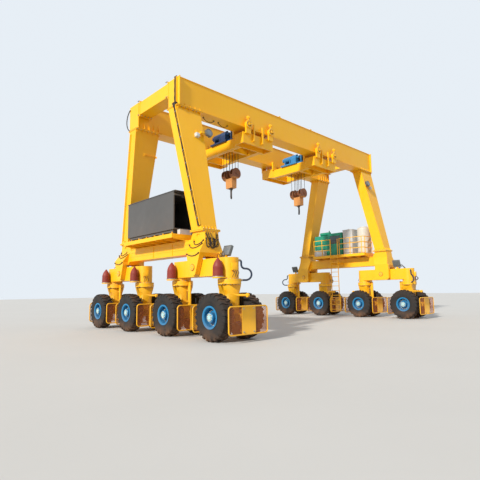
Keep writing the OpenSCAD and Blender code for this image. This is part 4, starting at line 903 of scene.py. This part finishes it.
def make_steer_hoses():
    """A sleeve over each steering hose of the source, with its crimped end fittings."""
    elbow_z = HOSE_TOP - HOSE_ELBOW
    bend_z = elbow_z - HOSE_FALL
    loop_z = bend_z - HOSE_BEND - HOSE_LOOP
    low_z = loop_z - HOSE_LOOP
    bend_x = HOSE_DOWN + HOSE_BEND
    route = [(HOSE_START, 0, HOSE_TOP)]
    route += arc(HOSE_DOWN - HOSE_ELBOW, elbow_z, HOSE_ELBOW, 90, 0, 6)
    route += arc(bend_x, bend_z, HOSE_BEND, 180, 270)
    route += arc(bend_x + HOSE_RUN, loop_z, HOSE_LOOP, 90, -90, 16)
    route += [(HOSE_END, 0, low_z)]
    hose = tube(route, HOSE_R, 16)
    ferrule = turned_part([(0, -0.001), (0.043, -0.001), (0.043, 0.03), (0.039, 0.032), (0.039, 0.06),
                           (0, 0.06)], 16)
    for name, body, axes in corners():
        place = axes @ at(0, -PIN_Y - STRUT_OFF, 0) @ turned("Z", HOSE_SPIN)
        put(f"steer_hose_{name}", SLEEVE, hose, place, body)
        for x, z in zip(FERRULE_SEATS, (HOSE_TOP, low_z)):
            put(f"hose_ends_{name}", BOLT, ferrule, place @ at(x, 0, z) @ turned("Y", 90), body)


def make_beacons():
    """Cases and glass over the lamp blocks on the equalisers."""
    h = BEACON_H
    case = slab((-0.053, -0.213, -0.003), (0.053, 0.213, h + 0.003), 0.008)
    fins = row(slab((0.05, -0.19, 0.03), (0.062, -0.183, h - 0.03)), FIN_COUNT, (0.0, FIN_PITCH, 0.0), SLATE)
    pane = slab((-0.059, -0.19, 0.025), (-0.05, 0.19, h - 0.022), 0.004)
    sills = [slab((-0.066, -0.21, z), (-0.052, 0.21, z + 0.026), 0.003) for z in (0.0, h - 0.024)]
    jambs = [slab((-0.066, y - 0.011, 0.0), (-0.052, y + 0.011, h + 0.002), 0.003) for y in (-0.2, 0.2)]
    rim = joined([(mesh, Matrix()) for mesh in sills + jambs])
    for name, body, axes in corners():
        place = axes @ at(*BEACON_PLACE) @ turned("Y", BEACON_LEAN)
        for mesh in (case, fins, rim):
            put(f"beacon_case_{name}", SLATE, mesh, place, body)
        put(f"beacon_glass_{name}", GLASS, pane, place, body)


def make_turret_fittings():
    """Valve blocks and thin hoses on the equalisers' ends, above the slewing flanges."""
    block = slab((0.335, -0.12, 2.42), (0.425, 0.12, 2.7), 0.01)
    cover = slab((0.424, -0.1, 2.45), (0.434, 0.1, 2.67), 0.004)
    plug = moved(BOLT_MESH, at(VALVE_FACE, 0, 0) @ turned("Y", 90))
    steps = 12
    thin = []
    for y, out, low in THIN_HOSES:
        path = []
        for k in range(steps + 1):
            t = k / steps
            path.append((THIN_HOSE_IN + (out - THIN_HOSE_IN) * sin(pi * t),
                         y + 0.02 * sin(2 * pi * t), THIN_HOSE_TOP + (low - THIN_HOSE_TOP) * t))
        thin.append(tube(path, 0.011))
    for name, body, axes in corners():
        for s, spin in VALVE_SPINS:
            place = axes @ at(0, -PIN_Y + s * STRUT_OFF, 0) @ turned("Z", spin)
            put(f"valve_blocks_{name}", YELLOW, block, place, body)
            put(f"valve_blocks_{name}", YELLOW, cover, place, body)
            for y in VALVE_BOLTS_Y:
                for z in VALVE_BOLTS_Z:
                    put(f"valve_bolts_{name}", BOLT, plug, place @ at(0, y, z) @ Matrix.Scale(0.55, 4), body)
            for mesh in thin:
                put(f"thin_hoses_{name}", BLACK, mesh, place, body)


def make_corner_hoses():
    """Thin hoses between the thick ones on the near corners."""
    bundles = [swag((-0.2, -3.3, 3.94), (0.36, -3.3, 3.92), 0.42, 0.09, 0.011),
               swag((-0.1, -3.3, 3.95), (0.3, -3.3, 3.94), 0.56, 0.12, 0.012),
               swag((0.02, -3.3, 3.93), (0.38, -3.31, 3.86), 0.3, 0.07, 0.01),
               swag((-0.22, -3.3, 3.9), (0.12, -3.33, 3.62), 0.16, 0.05, 0.011),
               swag((-0.12, -3.345, 3.52), (0.34, -3.345, 3.55), 0.18, 0.06, 0.012)]
    for side in SIDES:
        for mesh in bundles:
            put("corner_hoses", BLACK, mesh, on_frame("near") @ on_side(side))


def make_pin_caps():
    """Bolted caps on the pins, and hoses that arch over the tops of the equalisers."""
    over = [swag((-0.1 + 0.09 * k, -3.8 - 0.02 * k, EQUALISER_TOP),
                 (-0.2 + 0.1 * k, -4.16, EQUALISER_TOP), -0.16 - 0.05 * k, 0.0, 0.013) for k in range(3)]
    cap = turned_part([(0, 0), (0.105, 0), (0.112, 0.006), (0.112, 0.016), (0.105, 0.022), (0.04, 0.024),
                       (0.034, 0.034), (0, 0.036)], 32)
    shade = turned_part([(0.113, 0), (0.1295, 0), (0.1295, 0.002), (0.113, 0.002), (0.113, 0)])
    crown = ring(moved(BOLT_MESH, at(PIN_BOLTS_R, 0, PIN_BOLTS_SEAT) @ Matrix.Scale(0.6, 4)), 6)
    for name, body, axes in corners():
        for mesh in over:
            put(f"over_hoses_{name}", BLACK, mesh, axes, body)
        for s in (-1, 1):
            pin = axes @ at(s * PIN_END, -PIN_Y, PIN_Z) @ turned("Y", 90 * s)
            put(f"pin_caps_{name}", YELLOW, cap, pin, body)
            put(f"pin_bolts_{name}", BOLT, crown, pin, body)
            put(f"pin_shade_{name}", SEAM_AND_SHADE, shade, pin, body)


# Bolts of the big joints

TIE_BOLTS_X = -0.64
TIE_BOLTS_Z = (9.945, 10.615)
TIE_FACES_Y = ((-1.154, -90), (-1.224, 90))
LEG_BOLTS_X = -0.6
LEG_BOLTS_Y = (-1.306, -1.99)
FOOT_BOLTS_X = -0.27
FOOT_BOLTS_Y = (-2.518, -3.258)
INNER_BOLTS = (0.467, -3.178)
FLIPPED = Matrix.Diagonal((1, 1, -1, 1))
SLEW_BOLT_COUNT = 20
SEAT_GAP = 0.0003


def make_flange_bolts():
    """Bolts of the tie flanges, the leg plates, the corner plates and the slewing flanges."""
    down = turned("X", 180)
    tie_row = row(BOLT_MESH, 5, (0.165, 0.0, 0.0))
    leg_row = row(BOLT_MESH, 7, (0.19, 0.0, 0.0))
    foot_row = row(BOLT_MESH, 6, (0.145, 0.0, 0.0))
    inner_row = row(BOLT_MESH, 5, (0.0, 0.145, 0.0))
    above, below = LEG_FOOT + LEG_PLATE, LEG_FOOT - LEG_PLATE
    for corner, _, axes in corners():
        rows = [(tie_row, at(TIE_BOLTS_X, y, z) @ turned("X", turn))
                for z in TIE_BOLTS_Z for y, turn in TIE_FACES_Y]
        rows += [(leg_row, at(LEG_BOLTS_X, y, GIRDER_LOW - LEG_PLATE) @ down) for y in LEG_BOLTS_Y]
        for y in FOOT_BOLTS_Y:
            rows += [(foot_row, at(FOOT_BOLTS_X, y, above)), (foot_row, at(FOOT_BOLTS_X, y, below) @ down)]
        rows += [(inner_row, at(*INNER_BOLTS, above)), (inner_row, at(*INNER_BOLTS, below) @ FLIPPED)]
        for mesh, place in rows:
            put(f"bolts_{corner}", BOLT, mesh, axes @ place)
    crown = ring(moved(BOLT_MESH, at(SLEW_BOLTS_R, 0, 0)), SLEW_BOLT_COUNT)
    for name, x, y in axles():
        corner = name[:-1] + ("front" if y < 0 else "back")
        put(f"slew_bolts_{corner}", BOLT, crown, at(x, y, SLEW_Z + SLEW_T), BODY_OF[f"equaliser_{corner}"])
        under = at(x, y, SLEW_Z - SLEW_T - SEAT_GAP) @ down
        put(f"slew_nuts_{name}", BOLT, crown, under, BODY_OF[f"strut_{name}"])


# Ropes, cables and the fittings of the legs and trolleys

TURN_COUNT = 74
TURN_PITCH = 0.0185
DRUM_PLACE = (-0.33, 0.37, 9.49)
TRAY_FOOT = Vector((-7.4236, -3.0855, 4.2))
TRAY_TOP = Vector((-7.7461, -1.867, 9.31))
TRAY_END = (-7.6803, -1.825, 9.42)
TRAY_END_H = 1.18
TIE_COUNT = 9
CABLE_R = 0.0115
END_CABLE_R = 0.0125
JOINT_OUT = 0.0015
JOINT_IN = 0.01
JOINT_HALF = 0.004
JOINTS = ((-0.681, 0.683, -2.037, -1.259, GIRDER_LOW), (-0.346, 0.513, -3.3045, -2.4715, LEG_FOOT))
CONDUIT_FOOT = (-0.345, -3.178, 4.19)
CONDUIT_RUN = (-0.317, 1.19, 4.99)
CONDUIT_IN = (0.1, 0.17)
CONDUIT_R = 0.014
CLIP_HALF = (0.02, 0.02, 0.012)
HANGER_PLACE = (0.77, -2.1472, 9.5203)
ARM_T = 0.04
ROLLER_UP = 0.32
LAMP_PLACE = (0.0, -2.2079, LAMP_Z)
LAMP_LEAN = -13.42
LAMP_OUT = 0.651
LAMP_FORWARD = -0.18


def make_falls():
    """The rope falls between trolley and hook block, as a fixed copy of the source's ropes."""
    for k in TROLLEY_X:
        mesh = NODES[f"ropes_{k}"].data.copy()
        mesh.name = f"falls_{k}"
        piece = placed(f"falls_{k}", mesh)
        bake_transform(piece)
        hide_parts(f"ropes_{k}")


def make_drum_ropes():
    """The rope wound on each winch drum, in turns side by side."""
    lay = turned_part([(0.228, -0.009), (0.236, -0.0075), (0.2415, 0.0), (0.236, 0.0075), (0.228, 0.009),
                       (0.2, 0.009), (0.2, -0.009), (0.228, -0.009)])
    wound = row(lay, TURN_COUNT, (0.0, 0.0, TURN_PITCH), ROPE)
    for k, x in TROLLEY_X.items():
        place = at(x, 0, 0) @ at(*DRUM_PLACE) @ turned("X", 90)
        put(f"drum_rope_{k}", ROPE, wound, place, BODY_OF[f"winch_{k}"])


def tray_sides(x0, x1, inner, length, place):
    """The two side plates of the channel."""
    for y0, y1 in ((-0.09, -inner), (inner, 0.09)):
        put("tray_channel", YELLOW, slab((x0, y0, 0.0), (x1, y1, length), 0.003), place)


def make_tray_cables():
    """A painted channel over the cable tray of the near front leg, with the cables bundled in it."""
    run = (TRAY_TOP - TRAY_FOOT).normalized()
    out = Vector((-1.0, 0.0, run.x / run.z)).normalized()
    out = (out - run * out.dot(run)).normalized()
    place = Matrix.Translation(TRAY_FOOT) @ Matrix((out, run.cross(out), run)).transposed().to_4x4()
    length = (TRAY_TOP - TRAY_FOOT).length
    tray_sides(-0.045, 0.022, 0.066, length, place)
    put("tray_channel", YELLOW, slab((-0.002, -0.07, 0.0), (0.004, 0.07, length)), place)
    steps = 30
    for k, y in enumerate((-0.044, -0.018, 0.028)):
        path = [(0.014 + 0.003 * sin(2.1 * n + k), y + 0.008 * sin(1.3 * n + 2 * k),
                 length * n / steps) for n in range(steps + 1)]
        put("tray_cables", BLACK, tube(path, CABLE_R), place)
    tie = slab((0.004, -0.066, -0.012), (0.03, 0.066, 0.012), 0.004)
    put("tray_ties", BOLT, row(tie, TIE_COUNT, (0.0, 0.0, length / TIE_COUNT)), place @ at(0, 0, 0.3))
    end = at(*TRAY_END)
    tray_sides(-0.006, 0.038, 0.056, TRAY_END_H, end)
    for k, y in enumerate((-0.04, -0.014, 0.014, 0.04)):
        path = [(-0.008 - 0.004 * sin(1.9 * n + k), y + 0.006 * sin(1.7 * n + k), 0.1 * n)
                for n in range(12)]
        put("tray_cables", BLACK, tube(path, END_CABLE_R), end)


def bars(x0, x1, y0, y1, z0, z1, width):
    """The corners of four bars round a rectangle that stands in Y and Z."""
    return (((x0, y0, z0), (x1, y1, z0 + width)), ((x0, y0, z1 - width), (x1, y1, z1)),
            ((x0, y0, z0), (x1, y0 + width, z1)), ((x0, y1 - width, z0), (x1, y1, z1)))


def make_genset_details():
    """Doors, hinges, handles and the window of the engine set."""
    x = GENSET_FRONT
    z0, z1 = 4.12, 5.28
    for y0, y1 in ((0.86, 1.32), (1.35, 1.81)):
        for lo, hi in bars(x - 0.006, x + 0.002, y0, y1, z0, z1, 0.018):
            put("genset_doors", GREEN, slab(lo, hi, 0.002))
        for z in (z0 + 0.15, z1 - 0.2):
            hinge = slab((x - 0.014, y0 - 0.012, z), (x, y0 + 0.012, z + 0.07), 0.003)
            put("genset_hinges", BOLT, hinge)
        y = y1 - 0.06
        handle = tube([(x - 0.004, y, 4.66), (x - 0.03, y, 4.67), (x - 0.03, y, 4.77), (x - 0.004, y, 4.78)],
                      0.006)
        put("genset_hinges", BOLT, handle)
    put("genset_window", PANE, slab((x + 0.004, -0.165, 4.755), (x + 0.018, 0.645, 5.285), 0.003))
    for lo, hi in bars(x - 0.008, x + 0.004, -0.19, 0.67, 4.73, 5.31, 0.025):
        put("genset_doors", GREEN, slab(lo, hi, 0.003))


def make_joint_lines():
    """Dark lines round the bolted joints at the legs' tops and feet: partly the gaps of the joints, partly
    painted shadow along the flanges.
    """
    out, into, half = JOINT_OUT, JOINT_IN, JOINT_HALF
    for _, _, axes in corners():
        for x0, x1, y0, y1, z in JOINTS:
            for lo, hi in (((x0, y0 - out), (x1, y0 + into)), ((x0, y1 - into), (x1, y1 + out)),
                           ((x0 - out, y0), (x0 + into, y1)), ((x1 - into, y0), (x1 + out, y1))):
                put("joint_and_shade_lines", SEAM_AND_SHADE, slab((*lo, z - half), (*hi, z + half)), axes)


def make_conduits():
    """Two conduits up the outer face of each back leg, held by clips."""
    steps = 12
    for end in ENDS:
        axes = on_frame(end) @ on_side("back")
        for y in CONDUIT_IN:
            foot = (CONDUIT_FOOT[0], CONDUIT_FOOT[1] + y, CONDUIT_FOOT[2])
            path = [[a + run * k / steps for a, run in zip(foot, CONDUIT_RUN)] for k in range(steps + 1)]
            put(f"leg_conduits_{end}", YELLOW, tube(path, CONDUIT_R, 10), axes)
            for k in (1, 4, 7, 10):
                lo = [a - half for a, half in zip(path[k], CLIP_HALF)]
                hi = [a + half for a, half in zip(path[k], CLIP_HALF)]
                put(f"leg_clips_{end}", BOLT, slab(lo, hi, 0.003), axes)


def make_leg_bracket():
    """The empty bracket on the near back leg's inner face."""
    spread = LEG_IN_FOOT - LEG_IN_TOP
    height = GIRDER_LOW - LEG_FOOT
    y = LEG_IN_TOP + spread * (GIRDER_LOW - LAMP_Z) / height
    hold = at(-HALF_SPAN, y, LAMP_Z) @ turned("X", degrees(atan(spread / height)))
    for lo, hi, bevel in (((-0.1, -0.012, -0.07), (0.06, 0.001, 0.07), 0.003),
                          ((-0.06, -0.062, -0.022), (0.62, -0.01, -0.014), 0.002),
                          ((-0.06, -0.02, -0.064), (0.62, -0.011, -0.014), 0.002),
                          ((0.55, -0.11, -0.07), (0.562, -0.011, 0.03), 0.003)):
        put("leg_bracket", YELLOW, slab(lo, hi, bevel), hold)


def make_trolley_details():
    """Wheel hubs and guide rollers on the trolleys' hanger plates."""
    hub = turned_part([(0, 0), (0.185, 0), (0.195, 0.01), (0.195, 0.044), (0.183, 0.058), (0.128, 0.06),
                       (0.12, 0.03), (0.075, 0.03), (0.07, 0.072), (0.058, 0.084), (0, 0.086)])
    dish = turned_part([(0.0775, 0.031), (0.118, 0.031), (0.118, 0.0335), (0.0775, 0.0335),
                        (0.0775, 0.031)])
    roller = turned_part([(0, -0.088), (0.09, -0.088), (0.105, -0.078), (0.105, -0.012), (0.096, -0.002),
                          (0.05, 0.0), (0.05, 0.042), (0.042, 0.05), (0, 0.05)], 32)
    crown = ring(moved(BOLT_MESH, at(0.155, 0, 0.057) @ Matrix.Scale(0.6, 4)), 8)
    arm = slab((-0.07, -ARM_T, 0.06), (0.07, -0.001, 0.4), 0.01)
    for k, x in TROLLEY_X.items():
        body = BODY_OF[f"trolley_{k}"]
        for side in SIDES:
            for u in (-1, 1):
                spot = at(x, 0, 0) @ on_side(side) @ Matrix.Diagonal((u, 1, 1, 1)) @ at(*HANGER_PLACE)
                outer = spot @ turned("X", 90)
                put(f"wheel_hubs_{k}", YELLOW, hub, outer, body)
                put(f"hub_shade_{k}", SEAM_AND_SHADE, dish, outer, body)
                put(f"hub_bolts_{k}", BOLT, crown, outer, body)
                put(f"roller_arms_{k}", YELLOW, arm, spot, body)
                end = spot @ at(0, -ARM_T, ROLLER_UP) @ turned("X", 90)
                put(f"guide_rollers_{k}", YELLOW, roller, end, body)


def make_floodlights():
    """Dark cases, glass and white boxes over the floodlights of the front legs."""
    case = turned_part([(0.06, -0.066), (0.098, -0.066), (0.1735, 0.046), (0.1745, 0.052), (0.1745, 0.11),
                        (0.15, 0.112), (0.15, 0.0955), (0.168, 0.0955), (0.168, 0.05), (0.06, -0.066)])
    lens = turned_part([(0, 0.0955), (0.15, 0.0955), (0.15, 0.1), (0.12, 0.106), (0.07, 0.111),
                        (0, 0.113)])
    ribs = ring(slab((-0.004, 0.1, -0.03), (0.004, 0.19, 0.04), 0.001), 14, SLATE)
    box = slab((0.057, -0.133, -0.223), (0.243, 0.002, -0.057), 0.008)
    lid = slab((0.065, -0.139, -0.215), (0.235, -0.131, -0.065), 0.004)
    for end in ENDS:
        hold = on_frame(end) @ at(*LAMP_PLACE) @ turned("X", LAMP_LEAN)
        lamp = hold @ at(LAMP_OUT, LAMP_FORWARD, 0) @ turned("X", 90)
        put("floodlight_cases", SLATE, case, lamp)
        put("floodlight_cases", SLATE, ribs, lamp)
        put("floodlight_glass", GLASS, lens, lamp)
        put("floodlight_boxes", WHITE, box, hold)
        put("floodlight_boxes", WHITE, lid, hold)


make_wheels()
make_guards()
make_columns()
make_bellows()
make_steer_hoses()
make_beacons()
make_flange_bolts()
make_falls()
make_drum_ropes()
make_tray_cables()
make_genset_details()
make_joint_lines()
make_conduits()
make_leg_bracket()
make_trolley_details()
make_corner_hoses()
make_pin_caps()
make_floodlights()
make_turret_fittings()
finish_pieces()
for axle_name, _, _ in axles():
    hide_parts(f"tyres_{axle_name}")


# Floor and light

FLOOR_HALF = 140.0
FLOOR_DROP = 0.001
SUN_WAY = (1.0, 0.16, -0.56)


def make_floor():
    f = Finish("pale_floor", (0.6, 0.59, 0.575), rough=0.9)
    f.mottled((0.55, 0.54, 0.525), scale=0.25, detail=4.0, low=0.35, high=0.7, most=0.35)
    f.raise_by(f.noise(30.0, 5.0))
    size = FLOOR_HALF
    corner_points = [(-size, -size, 0), (size, -size, 0), (size, size, 0), (-size, size, 0)]
    mesh = mesh_of(corner_points, [(0, 1, 2, 3)], "floor")
    mesh.materials.append(f.done(bump=0.1, distance=0.004))
    floor = placed("floor", mesh)
    floor.location.z = cad_box[0][2] - FLOOR_DROP


def make_world():
    """A soft fill for all that the light meets, and a paler sky for what is seen or mirrored."""
    world = bpy.data.worlds.new("world")
    bpy.context.scene.world = world
    world.use_nodes = True
    tree = world.node_tree
    fill = tree.nodes["Background"]
    fill.inputs[0].default_value = (0.9, 0.95, 1.0, 1)
    fill.inputs[1].default_value = 0.6
    sight = tree.nodes.new("ShaderNodeBackground")
    sight.inputs[0].default_value = (0.8, 0.86, 0.92, 1)
    sight.inputs[1].default_value = 1.0
    path = tree.nodes.new("ShaderNodeLightPath")
    seen = path.outputs["Is Camera Ray"]
    for label in ("Is Glossy Ray", "Is Transmission Ray"):
        either = tree.nodes.new("ShaderNodeMath")
        either.operation = "MAXIMUM"
        tree.links.new(seen, either.inputs[0])
        tree.links.new(path.outputs[label], either.inputs[1])
        seen = either.outputs[0]
    mix = tree.nodes.new("ShaderNodeMixShader")
    tree.links.new(seen, mix.inputs[0])
    tree.links.new(fill.outputs[0], mix.inputs[1])
    tree.links.new(sight.outputs[0], mix.inputs[2])
    tree.links.new(mix.outputs[0], tree.nodes["World Output"].inputs[0])


def make_sun():
    sun = bpy.data.lights.new("sun", "SUN")
    sun.energy = 3.9
    sun.color = (1.0, 0.96, 0.88)
    sun.angle = radians(4)
    lamp = placed("sun", sun)
    lamp.rotation_euler = Vector(SUN_WAY).to_track_quat("-Z", "Y").to_euler()


make_floor()
make_world()
make_sun()
bpy.context.scene.view_settings.view_transform = "Standard"
